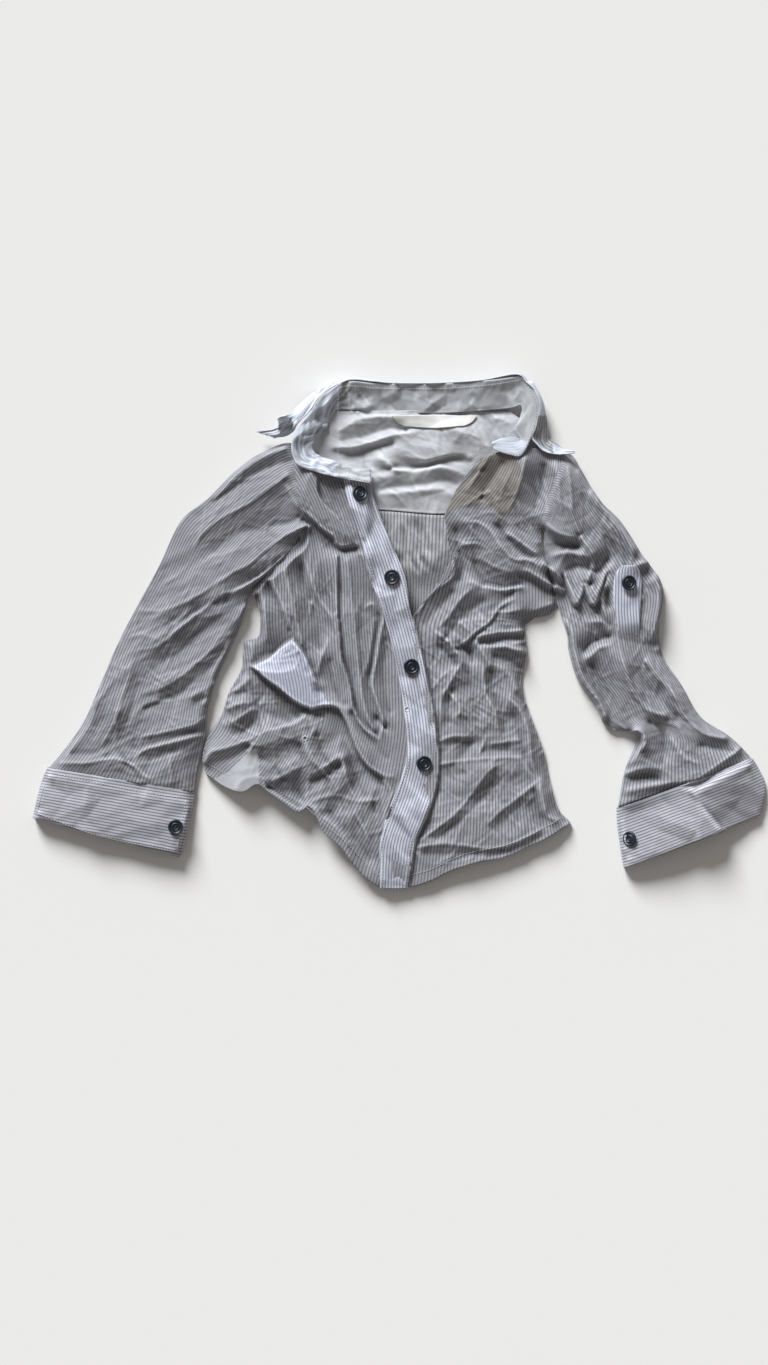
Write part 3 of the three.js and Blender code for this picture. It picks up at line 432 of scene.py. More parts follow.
OUTER_LINES = [
    # left sleeve, from the shoulder down: crests and troughs lie in turn
    [(286, 449, 14), (262, 458, 13), (238, 476, 12), (216, 499, 10)],
    [(292, 461, 9), (261, 471, 7.5), (233, 489, 7), (213, 503, 6.5), (197, 516, 6)],
    [(288, 476, 17), (274, 487, 17.5), (250, 504, 16.5), (222, 519, 15), (203, 535, 13), (196, 546, 11)],
    [(302, 518, 10), (283, 524, 8.5), (262, 528, 8), (240, 534, 8), (220, 548, 8), (205, 560, 8.5)],
    [(309, 527, 18), (294, 533, 18.5), (280, 540, 18), (265, 552, 17), (250, 565, 16), (230, 575, 15.5),
     (205, 592, 15), (183, 604, 14), (160, 611, 12), (141, 610, 9)],
    [(300, 543, 11), (282, 558, 10), (266, 572, 9), (244, 585, 9), (215, 602, 8.5), (188, 618, 8.5),
     (170, 630, 8)],
    [(286, 557, 16), (268, 572, 16), (250, 584, 16.5), (228, 594, 16), (200, 612, 15.5), (178, 631, 14.5),
     (158, 646, 13), (134, 651, 10)],
    [(255, 592, 10), (240, 604, 8.5), (212, 624, 8), (186, 646, 7.5), (160, 664, 7.5), (146, 676, 8)],
    [(232, 634, 14.5), (210, 652, 14), (182, 676, 13.5), (160, 689, 12.5), (143, 695, 9)],
    [(226, 650, 8.5), (205, 672, 8), (184, 690, 7.5), (160, 702, 8), (145, 708, 8)],
    [(256, 592, 13), (241, 615, 12), (229, 645, 12), (215, 672, 11.5), (205, 705, 10.5)],
    [(193, 696, 12.5), (204, 689, 13), (216, 683, 10)],
    [(196, 702, 8), (208, 697, 7.5)],
    [(133, 668, 14), (124, 695, 15), (117, 719, 14), (103, 745, 12)],
    [(141, 680, 10.5), (134, 705, 10.5), (128, 724, 10), (117, 744, 10), (108, 757, 10)],
    [(98, 700, 11), (92, 722, 12), (78, 742, 12.5), (67, 757, 11.5)],
    [(108, 700, 10), (102, 722, 9.5), (90, 745, 9.5)],
    [(134, 738, 11), (155, 734, 15.5), (177, 729, 16), (197, 724, 15), (203, 719, 12)],
    [(133, 748, 10), (155, 742, 10.5), (180, 736, 11), (200, 729, 11)],
    [(132, 762, 10), (143, 751, 14), (165, 744, 15.5), (188, 738, 15), (203, 735, 11)],
    [(126, 728, 11), (135, 715, 12.5), (150, 703, 12), (170, 700, 11.5)],
    [(62, 762, 12.5), (88, 762, 15), (115, 758, 15.5), (131, 763, 15), (144, 773, 13.5), (155, 781, 12.5)],
    [(72, 753, 9.5), (96, 752, 9.5), (112, 743, 9.5), (121, 752, 10), (133, 768, 10.5), (142, 779, 10.5)],
    [(150, 760, 10), (170, 752, 10), (190, 748, 10)],
    [(171, 757, 13.5), (173, 782, 13)],
    [(184, 757, 10), (187, 786, 10)],
    [(60, 769.5, 11), (99, 776, 11), (146, 786, 11), (181, 791, 10), (193, 790, 8)],
    # left cuff: a fused band that lies almost flat and stands off the table
    [(50, 776, 13.5), (99, 786, 14), (146, 796, 14.5), (188, 802, 13)],
    [(40, 812, 15), (99, 833, 16.5), (146, 844, 17), (178, 850, 15)],
    [(44, 786, 13.5), (40, 805, 14)],
    [(190, 806, 12.5), (180, 846, 14)],
    [(70, 800, 15.5), (120, 815, 16), (160, 822, 16)],
    # right shoulder and sleeve
    [(524, 460, 17), (520, 480, 17), (513, 500, 16), (506, 512, 15)],
    [(544, 466, 9), (541, 488, 8), (534, 508, 8)],
    [(555, 466, 15), (557, 484, 16), (559, 500, 16.5), (562, 518, 16)],
    [(566, 468, 16), (569, 487, 19), (571, 515, 19), (580, 538, 18), (592, 555, 16.5)],
    [(577, 472, 12), (585, 490, 12.5), (594, 515, 12.5), (606, 538, 12), (616, 555, 11)],
    [(590, 492, 14), (606, 515, 14), (622, 535, 14.5), (634, 552, 14)],
    [(601, 520, 13.5), (612, 538, 14), (623, 558, 13)],
    [(546, 526, 14.5), (557, 534, 17), (572, 538, 16.5), (580, 535, 14)],
    [(549, 542, 9), (562, 546, 8.5), (578, 547, 8.5)],
    [(553, 556, 13), (566, 553, 15.5), (582, 556, 15), (594, 560, 13)],
    [(566, 570, 10), (580, 566, 8.5), (596, 572, 8.5), (607, 560, 8.5)],
    [(566, 578, 13), (574, 603, 17), (577, 605, 17), (584, 588, 16), (591, 568, 14)],
    [(583, 590, 13), (590, 604, 17.5), (593, 605, 17.5), (604, 585, 16), (609, 566, 14)],
    [(570, 614, 10.5), (580, 614, 10), (592, 615, 10), (600, 604, 10)],
    [(584, 583, 10), (590, 583, 9.5)],
    [(600, 596, 15), (603, 610, 14), (610, 626, 12.5)],
    [(606, 592, 9), (608, 606, 8)],
    [(586, 622, 12), (600, 622, 13.5), (610, 630, 13)],
    [(583, 652, 7), (588, 644, 6.5), (597, 640, 7), (610, 636, 8.5)],
    [(587, 658, 14.5), (598, 648, 14), (610, 645, 14.5)],
    [(562, 618, 10), (571, 634, 14), (575, 655, 14), (580, 676, 14), (596, 700, 14), (604, 718, 12)],
    [(584, 668, 11), (595, 690, 8), (606, 706, 7), (616, 724, 7), (630, 732, 8)],
    [(590, 664, 8), (602, 684, 7), (614, 704, 7), (628, 720, 8)],
    [(616, 576, 15), (613, 602, 16.5), (616, 631, 17), (622, 662, 17), (631, 690, 16), (645, 708, 15),
     (664, 716, 14)],
    [(641, 575, 10), (644, 600, 9.5), (640, 630, 11), (640, 655, 11), (648, 672, 10)],
    [(655, 574, 14), (658, 598, 16), (655, 622, 15.5), (650, 640, 13)],
    [(634, 566, 15), (646, 563, 16), (656, 568, 14)],
    [(640, 578, 9), (650, 570, 10)],
    [(652, 652, 9), (658, 648, 9)],
    [(644, 660, 15), (655, 676, 16), (668, 690, 16), (682, 712, 15)],
    [(638, 668, 11), (648, 688, 9.5), (662, 702, 10), (676, 718, 9.5)],
    [(668, 700, 13), (684, 718, 15.5), (702, 733, 16), (724, 738, 14)],
    [(700, 745, 9.5), (716, 748, 9.5), (733, 751, 9.5)],
    [(611, 732, 13), (626, 734, 16), (637, 731, 17.5), (643, 742, 17.5), (636, 752, 15), (630, 762, 13)],
    [(648, 722, 7.5), (659, 728, 7), (664, 745, 7.5), (661, 762, 8.5)],
    [(625, 772, 15), (642, 768, 15), (660, 768, 13.5)],
    [(626, 779, 9), (645, 776, 9), (657, 779, 9.5)],
    [(670, 738, 14), (682, 755, 16), (700, 766, 16.5)],
    [(628, 790, 14.5), (650, 785, 15.5), (668, 782, 16), (692, 779, 17), (713, 766, 17), (738, 748, 14)],
    [(622, 803, 11.5), (651, 793, 11.5), (678, 785, 11.5), (697, 784, 11.5), (715, 773, 11), (744, 761, 9)],
    # right cuff: one crease down it, bright to its left
    [(624, 815, 8), (655, 803, 10), (682, 793, 13)],
    [(628, 858, 12), (660, 850, 16), (690, 838, 20), (712, 828, 22)],
    [(697, 790, 19.5), (722, 776, 19), (746, 765, 16)],
    [(727, 823, 12), (742, 816, 9.5), (756, 809, 7)],
    [(622, 820, 8.5), (624, 850, 10)],
    # left front, from the collar down
    [(296, 468, 12), (303, 490, 14), (309, 505, 14.5), (318, 524, 14.5), (330, 534, 14)],
    [(285, 482, 15), (294, 500, 14.5), (302, 512, 12)],
    [(300, 518, 8), (308, 524, 7.5), (318, 537, 7.5), (328, 547, 8)],
    [(312, 472, 16), (313, 490, 17), (318, 505, 16.5)],
    [(330, 486, 11.5), (338, 505, 11), (347, 517, 11), (353, 530, 11)],
    [(352, 500, 15), (357, 512, 14.5), (366, 528, 14)],
    [(334, 482, 10.5), (350, 484, 11.5)],
    [(364, 540, 11), (372, 560, 11), (377, 590, 10.5)],
    [(262, 588, 12), (264, 605, 13.5), (266, 625, 13), (267, 640, 10)],
    [(266, 580, 8), (277, 603, 7.5), (286, 627, 7), (291, 637, 7)],
    [(272, 580, 13.5), (281, 601, 13.5), (290, 624, 13), (294, 634, 11)],
    [(284, 562, 15.5), (290, 590, 16), (297, 620, 15.5), (303, 645, 13.5)],
    [(301, 566, 8), (305, 586, 7.5), (311, 601, 8)],
    [(306, 560, 13.5), (312, 582, 15), (320, 600, 15.5), (331, 616, 15.5), (338, 634, 15)],
    [(312, 605, 10), (318, 625, 9), (320, 648, 8.5)],
    [(328, 640, 14.5), (321, 660, 14.5), (318, 674, 13)],
    [(324, 560, 13), (330, 590, 12.5), (336, 612, 12)],
    [(330, 660, 10), (333, 682, 9.5), (340, 700, 10)],
    [(348, 560, 16), (352, 600, 16.5), (356, 640, 16), (360, 680, 16), (366, 712, 16), (374, 730, 15.5)],
    [(362, 612, 13.5), (372, 604, 15), (378, 612, 13)],
    [(385, 640, 10.5), (384, 665, 9.5), (385, 690, 9.5), (390, 712, 9.5)],
    [(374, 620, 13.5), (371, 645, 14), (367, 670, 14)],
    # the turned-up corner and what lies round it
    [(268, 650, 7), (280, 640, 6.5), (290, 630, 7)],
    [(282, 684, 21), (290, 676, 19), (300, 668, 17)],
    [(262, 684, 8.5), (274, 695, 7), (285, 706, 6.5), (297, 716, 7.5)],
    [(258, 706, 6.5), (275, 716, 6.5), (290, 720, 7.5)],
    [(250, 644, 9), (255, 656, 9.5)],
    [(228, 694, 12), (240, 686, 12.5), (250, 678, 12)],
    [(225, 702.5, 9.5), (236, 696.5, 9), (247, 691, 9)],
    [(228, 708, 14), (238, 704, 15), (250, 702, 14)],
    [(232, 722, 13.5), (242, 716, 14.5), (252, 708, 12)],
    [(224, 722, 10), (234, 733, 10), (248, 728, 9.5), (257, 718, 9)],
    [(205, 762, 12), (211, 752, 14), (228, 747, 14.5), (252, 738, 14.5), (268, 731, 14.5), (281, 725, 12)],
    [(214, 762, 10), (232, 757, 10), (249, 746, 10)],
    [(249, 751, 15), (262, 737, 16.5), (277, 728, 17), (292, 724, 16.5), (306, 716, 16)],
    [(262, 757, 11.5), (275, 766, 11), (284, 780, 10)],
    [(266, 783, 14), (282, 776, 14), (296, 768, 14.5)],
    [(268, 787, 10), (284, 795, 11), (300, 806, 11.5)],
    [(298, 790, 9), (304, 800, 9.5)],
    [(306, 741, 15), (309, 752, 15.5), (319, 766, 15), (328, 776, 13)],
    [(316, 722, 13.5), (314, 731, 14.5), (306, 737, 15)],
    [(300, 744, 10), (303, 758, 9)],
    [(318, 735, 10), (322, 752, 9), (331, 765, 9.5)],
    [(384, 775, 16.5), (398, 776, 14)],
    [(326, 714, 11.5), (338, 725, 10), (346, 745, 9), (355, 763, 8.5), (368, 777, 8.5), (384, 783, 9)],
    [(318, 690, 11), (332, 694, 11.5), (345, 703, 12)],
    [(352, 712, 12), (364, 732, 12), (376, 746, 12.5), (388, 758, 12)],
    [(377, 717, 6.5), (384, 727, 7)],
    [(385, 712, 13.5), (392, 727, 13)],
    [(308, 777, 13), (328, 764, 14.5), (341, 755, 15.5)],
    [(312, 782, 9), (330, 772, 9), (340, 764, 9.5)],
    [(342, 755, 15.5), (350, 787, 14.5), (357, 800, 13.5)],
    [(350, 762, 9), (358, 783, 8), (366, 795, 8)],
    [(309, 801, 13), (336, 795, 13.5), (357, 800, 14), (378, 799, 11)],
    [(322, 812, 14), (336, 826, 14.5), (350, 842, 14), (361, 858, 12)],
    [(330, 812, 9.5), (344, 826, 9), (358, 842, 8.5), (370, 858, 8)],
    [(355, 812, 13), (364, 828, 13), (372, 846, 12)],
    [(384, 781, 13.5), (391, 790, 13), (385, 814, 12.5), (380, 834, 12)],
    [(374, 792, 9), (374, 812, 8.5)],
    # right front
    [(447, 532, 14), (447, 545, 15), (453, 562, 15), (453, 576, 14.5), (434, 592, 14), (416, 615, 12)],
    [(456, 530, 9), (458, 548, 8.5), (463, 566, 8.5), (459, 580, 9)],
    [(462, 508, 13.5), (474, 500, 15), (488, 492, 14.5)],
    [(456, 492, 12), (468, 480, 12), (482, 470, 12)],
    [(490, 456, 14), (479, 472, 14.5), (467, 491, 14)],
    [(503, 462, 10.5), (491, 480, 10), (481, 498, 11)],
    [(513, 466, 14), (504, 485, 15), (498, 503, 14.5)],
    [(462, 524, 14), (476, 523, 17.5), (491, 533, 18), (501, 548, 17.5), (514, 560, 17), (527, 560, 17.5),
     (537, 566, 16.5)],
    [(463, 545, 16), (480, 545, 16), (495, 556, 15.5)],
    [(480, 558, 14), (496, 568, 15), (512, 572, 15)],
    [(475, 562, 9.5), (478, 575, 8.5), (488, 584, 8), (503, 588, 7.5), (519, 585, 8)],
    [(497, 526, 10), (508, 540, 9), (520, 552, 9), (530, 558, 10)],
    [(507, 534, 14), (520, 543, 15.5), (535, 554, 16.5)],
    [(516, 528, 11), (530, 534, 10.5), (538, 544, 11)],
    [(522, 570, 15), (531, 574, 16), (541, 580, 16), (553, 587, 15.5), (563, 591, 14)],
    [(520, 577, 9), (531, 582, 8.5), (543, 590, 8), (555, 598, 8)],
    [(541, 563, 17.5), (551, 571, 19), (560, 581, 19)],
    [(528, 612, 9.5), (540, 608, 10.5), (552, 604, 10)],
    [(467, 582, 13), (475, 584, 14.5), (484, 590, 13)],
    [(434, 633, 12.5), (448, 616, 14), (462, 597, 15), (472, 588, 14.5)],
    [(424, 625, 9), (438, 608, 9), (452, 592, 9)],
    [(444, 640, 11), (462, 618, 9.5), (484, 600, 9.5)],
    [(490, 610, 11.5), (505, 598, 11), (514, 590, 10.5)],
    [(434, 631, 14.5), (447, 641, 17), (455, 650, 17), (462, 662, 15.5)],
    [(440, 646, 9), (448, 655, 8.5), (456, 665, 9)],
    [(459, 623, 13), (467, 629, 14), (474, 635, 14.5)],
    [(460, 645, 8), (468, 650, 7), (472, 660, 7.5)],
    [(476, 637, 14.5), (497, 633, 15.5), (522, 631, 14)],
    [(480, 643, 9), (498, 640, 9), (520, 639, 8.5)],
    [(475, 646, 13.5), (493, 647, 14.5), (510, 648, 14.5), (522, 652, 12)],
    [(475, 641, 14.5), (482, 653, 16), (490, 666, 15)],
    [(490, 612, 13), (508, 612, 14.5), (520, 610, 13)],
    [(494, 656, 10), (508, 660, 9.5), (520, 660, 9)],
    [(498, 668, 12), (510, 676, 12.5), (516, 690, 11.5)],
    [(482, 664, 15), (485, 693, 14.5), (494, 711, 15), (498, 733, 14)],
    [(490, 670, 9), (493, 693, 8.5), (502, 712, 8.5), (504, 732, 9.5)],
    [(460, 663, 14.5), (446, 689, 14.5), (441, 701, 14), (442, 720, 13)],
    [(452, 688, 9.5), (449, 703, 9), (450, 722, 9.5)],
    [(447, 690, 13.5), (460, 710, 14.5), (452, 718, 12)],
    [(432, 688, 13), (442, 676, 13.5), (452, 668, 13)],
    [(428, 665, 9.5), (436, 655, 9.5)],
    [(468, 672, 10), (472, 695, 9.5), (478, 716, 10)],
    [(508, 697, 13), (520, 711, 15), (527, 729, 15), (531, 761, 13.5), (536, 775, 13)],
    [(512, 712, 9.5), (518, 730, 8.5), (524, 758, 9)],
    [(438, 741, 12), (451, 736, 15), (473, 736, 14)],
    [(440, 747, 11.5), (458, 742, 11.5), (474, 742, 11.5)],
    [(486, 736, 14), (480, 750, 14), (476, 758, 12)],
    [(483, 750, 10.5), (500, 749, 10.5), (520, 746, 10.5)],
    [(484, 744, 13), (502, 742, 13.5), (518, 739, 12.5)],
    [(439, 764, 12.5), (471, 759, 13.5), (500, 757, 13.5), (523, 757, 12.5)],
    [(440, 775, 10.5), (466, 772, 10.5)],
    [(419, 840, 12), (438, 826, 14.5), (452, 815, 15.5), (473, 791, 16), (488, 770, 15.5),
     (503, 762, 13.5)],
    [(434, 838, 11), (458, 822, 11), (480, 798, 11), (497, 776, 11)],
    [(484, 826, 13), (498, 812, 14.5), (518, 796, 15), (540, 778, 13.5)],
    [(494, 828, 11.5), (512, 812, 11.5), (532, 796, 11.5)],
    [(508, 782, 10.5), (522, 772, 11)],
    [(418, 846, 13.5), (440, 843, 14.5), (461, 844, 14.5), (480, 847, 14), (505, 845, 14), (540, 829, 13)],
    [(424, 853, 10.5), (461, 852, 10.5), (507, 853, 11), (540, 837, 10.5)],
    [(436, 866, 11), (470, 857, 11.5), (510, 850, 11)],
    [(539, 779, 14), (541, 795, 14.5), (547, 815, 14), (557, 820, 13)],
    [(534, 790, 9), (537, 808, 8.5), (543, 822, 9)],
    [(412, 870, 12), (414, 851, 13), (426, 865, 11)],
    # the buttoned band stands a little above the front that it covers
    [(347, 476, 15.5), (356, 510, 15), (368, 545, 13.5), (376, 578, 13), (387, 612, 13), (396, 645, 13),
     (406, 697, 13.5), (411, 735, 14), (411, 760, 14), (404, 785, 13.5), (391, 817, 13), (385, 845, 12.5),
     (385, 880, 12)],
    [(367, 486, 9), (375, 512, 10), (388, 545, 12), (401, 578, 13), (406, 609, 13), (415, 645, 13.5),
     (426, 697, 13.5), (432, 735, 14), (434, 762, 13), (432, 786, 14.5), (422, 817, 14.5), (410, 845, 13),
     (405, 880, 12)],
]

OUTER_EDGES = [  # free fold edges: (x, y, high side, low side), the high side on the left going along
    [(355, 543, 15, 11), (347, 530, 16, 11), (337, 517, 17, 11), (325, 506, 17.5, 10.5),
     (318, 494, 17, 10.5), (318, 480, 15, 11)],
    [(305, 512, 13, 12), (313, 520, 15, 9.5), (322, 530, 15.5, 8), (333, 538, 15, 8), (338, 547, 14, 9),
     (356, 547, 13, 9)],
    [(300, 532, 16, 11), (303, 541, 16, 8), (293, 551, 16, 8), (279, 563, 15, 7.5), (266, 579, 14, 7),
     (253, 592, 12, 6)],
    [(378, 737, 15, 12), (364, 726, 16, 10.5), (355, 709, 16.5, 9.5), (350, 682, 16.5, 9),
     (342, 658, 16, 9), (340, 636, 16, 10), (338, 610, 16, 10), (338, 585, 15.5, 11),
     (338, 556, 15, 12)],
    [(361, 555, 15, 12), (370, 580, 15, 11), (377, 600, 15.5, 10.5), (382, 618, 15.5, 10),
     (379, 634, 15, 9.5), (375, 660, 15, 9.5), (371, 684, 15.5, 9), (376, 702, 16, 10),
     (382, 722, 16, 11), (379, 737, 14, 11)],
    [(455, 649, 14, 11), (465, 643, 14.5, 11.5), (476, 633, 14, 11.5), (489, 623, 14.5, 12.5),
     (500, 608, 13.5, 12), (514, 600, 13, 12.5)],
    [(521, 586, 15.5, 8.5), (501, 589, 16, 8), (485, 586, 16.5, 8)],
    [(719, 829, 23, 13), (703, 810, 19, 16), (688, 791, 15, 19)],
    [(563, 576, 14, 10), (569, 592, 16, 9.5), (574.5, 606, 17, 10), (577, 603, 17, 10),
     (583, 586, 16, 10.5)],
    [(583, 586, 15, 10), (588, 598, 17, 9.5), (591.5, 606, 17, 10), (599, 592, 16.5, 9.5),
     (606, 572, 15, 10)],
    [(408, 884, 12, 9), (412, 862, 13, 9.5), (417, 838, 14, 10), (429, 810, 15, 10), (436, 788, 15, 10),
     (439, 765, 13.5, 10), (438, 742, 14.5, 10), (435, 720, 14, 10), (431, 697, 14, 10),
     (426, 672, 13.5, 10), (420, 645, 13.5, 10), (412, 612, 13, 9.5)],
    [(253, 667, 16, 9), (266, 678, 22, 7), (280, 688, 25, 6), (296, 701, 25, 6), (310, 708, 21, 8)],
    [(292, 640, 10, 6), (281, 648, 9.5, 5.5), (270, 658, 10, 5.5), (254, 665, 12, 6.5)],
    [(317, 682, 17, 11), (311, 668, 16.5, 10.5), (304, 654, 16, 10), (293, 640, 14, 10)],
    [(311, 709, 17, 12), (325, 706, 18, 11), (338, 708, 19, 10), (347, 722, 19, 9.5), (353, 738, 19, 9),
     (360, 754, 18.5, 9), (369, 767, 18, 9), (384, 777, 16, 10)],
]

FOLD_DEPTH = [  # x, y, how deep the drawn folds are there
    (240, 520, 0.72), (180, 640, 0.68), (130, 740, 0.75), (290, 590, 1.35), (350, 620, 1.2),
    (330, 510, 1.5), (262, 548, 0.6), (215, 592, 0.6), (280, 700, 1.3), (320, 780, 1.35),
    (360, 840, 1.2), (490, 550, 1.1), (480, 650, 1.1), (480, 730, 1.0),
    (480, 820, 0.95), (570, 500, 1.5), (590, 600, 1.3), (620, 680, 1.3), (680, 740, 1.2), (640, 830, 1.0),
    (720, 800, 1.0), (110, 815, 1.0), (400, 650, 1.0), (400, 800, 1.0),
]

# Zones of small creases: x, y, radius, lean of the creases from straight down, its spread, how many, rise.
OUTER_CRUMPLE = [
    (250, 520, 55, -52, 24, 55, 1.0),
    (190, 620, 60, -52, 24, 75, 1.1),
    (150, 710, 60, -60, 30, 75, 1.05),
    (140, 765, 50, -75, 22, 40, 0.9),
    (290, 600, 45, 8, 25, 50, 0.9),
    (275, 700, 50, -50, 45, 75, 1.3),
    (300, 780, 55, -50, 40, 70, 1.2),
    (350, 820, 55, -30, 35, 55, 1.1),
    (360, 640, 45, 5, 22, 45, 0.8),
    (330, 510, 35, 25, 30, 30, 0.9),
    (500, 540, 50, 50, 50, 60, 1.1),
    (480, 660, 55, 40, 60, 75, 1.1),
    (500, 740, 60, -30, 60, 75, 1.0),
    (490, 820, 60, -45, 40, 70, 1.0),
    (520, 640, 25, -80, 15, 22, 0.9),
    (500, 850, 60, -5, 15, 50, 0.7),
    (580, 500, 45, 25, 35, 60, 1.3),
    (600, 580, 50, 15, 35, 70, 1.3),
    (620, 670, 50, 25, 25, 60, 1.1),
    (670, 730, 50, 45, 30, 60, 1.0),
    (670, 775, 50, 75, 30, 40, 0.9),
]

HEM_LINES = [  # the fronts' and the cuffs' lower edges
    [(207, 774, 7), (227, 787, 13), (244, 791, 20), (258, 785, 24), (271, 793, 24), (300, 811, 24),
     (315, 813, 22), (324, 830, 21), (342, 846, 19), (355, 863, 16), (368, 878, 13), (382, 888, 9)],
    [(393, 886, 9), (410, 886.5, 9), (431, 880, 11), (449, 871, 12), (472, 863, 12), (505, 856, 13),
     (528, 846, 12), (551, 835, 12), (569, 823, 9)],
    [(33.5, 817, 12), (99, 839, 13), (149, 850, 13), (181, 856, 12)],
    [(624, 866, 11), (651, 861, 14), (681, 849, 18), (714, 833, 22)],
    [(724, 830, 12), (742, 822, 9), (759, 815, 6)],
]
OUTER_BOX = (24, 430, 778, 898)  # left, top, right, bottom of the outer height map
OUTER_LEVEL = 9  # height of the outer cloth where no line is near, mm
OUTLINE_HEIGHT = 5  # height of the outlines' turned edges, mm
INNER_BOX = (200, 405, 575, 890)
INNER_LEVEL = 2
INNER_LOWEST = 0.8
CREST = 12.4  # rows whose mean height is over this are crests, which get a pressed crease, mm
BAND_CRUMPLE = [  # facets only
    (360, 510, 45, 15, 30, 0, 0.7), (390, 590, 45, 15, 40, 0, 0.9), (410, 670, 45, 30, 50, 0, 0.8),
    (420, 750, 45, 0, 50, 0, 0.9), (400, 840, 50, 20, 40, 0, 0.9), (110, 815, 90, -70, 20, 0, 0.5),
    (690, 820, 80, 60, 20, 0, 0.6),
]

# Facets, largest first: width, how much longer than wide, rise.
OUTER_FACETS = [(20, 1.7, 2.0), (9, 2.0, 0.65)]
BAND_FACETS = [(16, 1.7, 3.0), (7, 2.0, 0.5)]
INNER_FACETS = [(16, 1.7, 2.2), (8, 2.0, 0.7)]
STRIP_FACETS = [(11, 1.3, 1.3), (6, 1.5, 0.4)]

INNER_LINES = [  # the yoke's and back's inside, seen through the neck
    [(300, 440, 3), (300, 512, 3), (400, 560, 1.5)],
    [(560, 440, 3), (545, 512, 3)],
    [(333, 415, 6.4), (391, 414, 6.4), (451, 414, 6.4), (509, 415, 6.4)],
    [(339, 432, 9), (358, 421, 10), (385, 417, 10), (404, 420, 8)],
    [(341, 441, 5.5), (362, 437, 6), (390, 429, 5.5), (407, 431, 5.5)],
    [(332, 448, 6), (352, 448, 9.5), (375, 442, 11), (398, 435, 11), (425, 432, 12), (447, 427, 13),
     (462, 433, 12), (478, 446, 10)],
    [(334, 452, 3.5), (352, 455, 3), (372, 449, 4), (392, 444, 5)],
    [(400, 452, 10), (420, 461, 11.5), (446, 457, 11), (466, 452, 8.5)],
    [(380, 458, 10), (395, 470, 11), (410, 471, 9)],
    [(366, 474, 7), (395, 468, 5), (425, 466, 4), (450, 459, 4), (470, 462, 4.5)],
    [(372, 478, 7.5), (402, 474, 8), (425, 470, 9), (440, 468, 9.5), (458, 472, 8), (470, 480, 6)],
    [(375, 490, 4), (400, 486, 3.5), (425, 484, 3), (445, 480, 3), (458, 484, 3.5)],
    [(380, 494, 7), (400, 493, 7.5), (425, 490, 7.5), (445, 490, 6.5), (455, 500, 5)],
    [(372, 508, 3.5), (401, 508, 3.5), (440, 512, 3.5), (470, 512, 3.5)],
    [(474, 419, 8), (482, 432, 10), (488, 448, 10)],
    [(484, 418, 6), (497, 430, 5), (505, 440, 5.5)],
    [(495, 418, 9), (510, 424, 9), (518, 434, 8)],
    [(469, 458, 8), (474, 450, 9), (484, 448, 9)],
    [(322, 470, 4), (345, 478, 4), (362, 486, 4)],
    [(408, 556, 6), (414, 566, 6.5), (420, 580, 5)],
    [(411, 560, 2.5), (417, 570, 2)],
    [(418, 556, 6.5), (423, 566, 6.5), (427, 577, 5)],
    [(421, 559, 2.5), (426, 568, 2)],
    [(427, 554, 6), (432, 563, 6), (435, 573, 4)],
    [(380, 525, 3), (400, 528, 3.5), (430, 526, 3)],
    [(385, 545, 4), (405, 550, 5), (425, 547, 4.5), (445, 552, 4)],
    [(300, 700, 2), (420, 700, 2), (540, 700, 2)],
    [(230, 780, 2), (400, 860, 2), (550, 815, 2)],
]
INNER_CRUMPLE = [
    (400, 450, 60, 80, 40, 50, 0.8),
    (490, 440, 30, 30, 50, 20, 0.7),
    (415, 545, 35, 10, 40, 35, 0.8),
]

# ---- which way the stripes run on the body: (x, y, lean from straight down) rows ----

BODY_LEAN = [
    (285, 490, 38), (310, 500, 25), (345, 505, 20), (360, 530, 18), (300, 600, 3), (280, 580, 5),
    (340, 640, -3), (358, 600, 0), (375, 700, 5), (285, 672, 22), (240, 680, 0), (240, 712, -5),
    (232, 760, -55), (290, 760, -38), (330, 785, -36), (320, 740, -30), (350, 790, -26), (370, 820, -15),
    (380, 860, -10), (345, 830, -30), (390, 640, 12), (405, 700, 6), (370, 778, 0), (430, 610, -32),
    (440, 640, -12), (470, 610, -12), (440, 690, -6), (470, 800, -4), (430, 850, -6), (520, 640, 4),
    (540, 740, 6), (500, 780, 0), (555, 810, 16), (470, 490, -50), (500, 500, -46), (540, 490, -14),
    (490, 545, -34), (520, 545, -30), (530, 590, 18), (560, 480, 6), (555, 530, 14), (420, 780, 0),
]
BACK_LEAN = [(400, 540, 0), (430, 540, -4), (430, 575, -20), (410, 575, 15)]


def lean_field(samples):
    """Lean in radians at any plan point, blended from the nearest samples."""
    rows = np.array(samples, float)

    def at(x, y):
        weight = 1 / ((x[..., None] - rows[:, 0]) ** 2 + (y[..., None] - rows[:, 1]) ** 2 + 60) ** 1.5
        return np.radians((weight * rows[:, 2]).sum(-1) / weight.sum(-1))

    return at


def integrate(step_across, step_down):
    """The field whose steps between neighbours come nearest to those given."""
    rows, cols = step_across.shape[0], step_down.shape[1]
    source = np.zeros((rows, cols))
    source[:, :-1] += step_across
    source[:, 1:] -= step_across
    source[:-1] += step_down
    source[1:] -= step_down
    mirrored = np.concatenate([source, source[:, ::-1]], axis=1)
    mirrored = np.concatenate([mirrored, mirrored[::-1]], axis=0)
    a = 2 * np.cos(np.pi * np.fft.fftfreq(2 * rows) * 2)[:, None] - 2
    b = 2 * np.cos(np.pi * np.fft.fftfreq(2 * cols) * 2)[None, :] - 2
    scale = a + b
    scale[0, 0] = 1
    spectrum = np.fft.fft2(mirrored) / scale
    spectrum[0, 0] = 0
    return np.real(np.fft.ifft2(spectrum))[:rows, :cols]


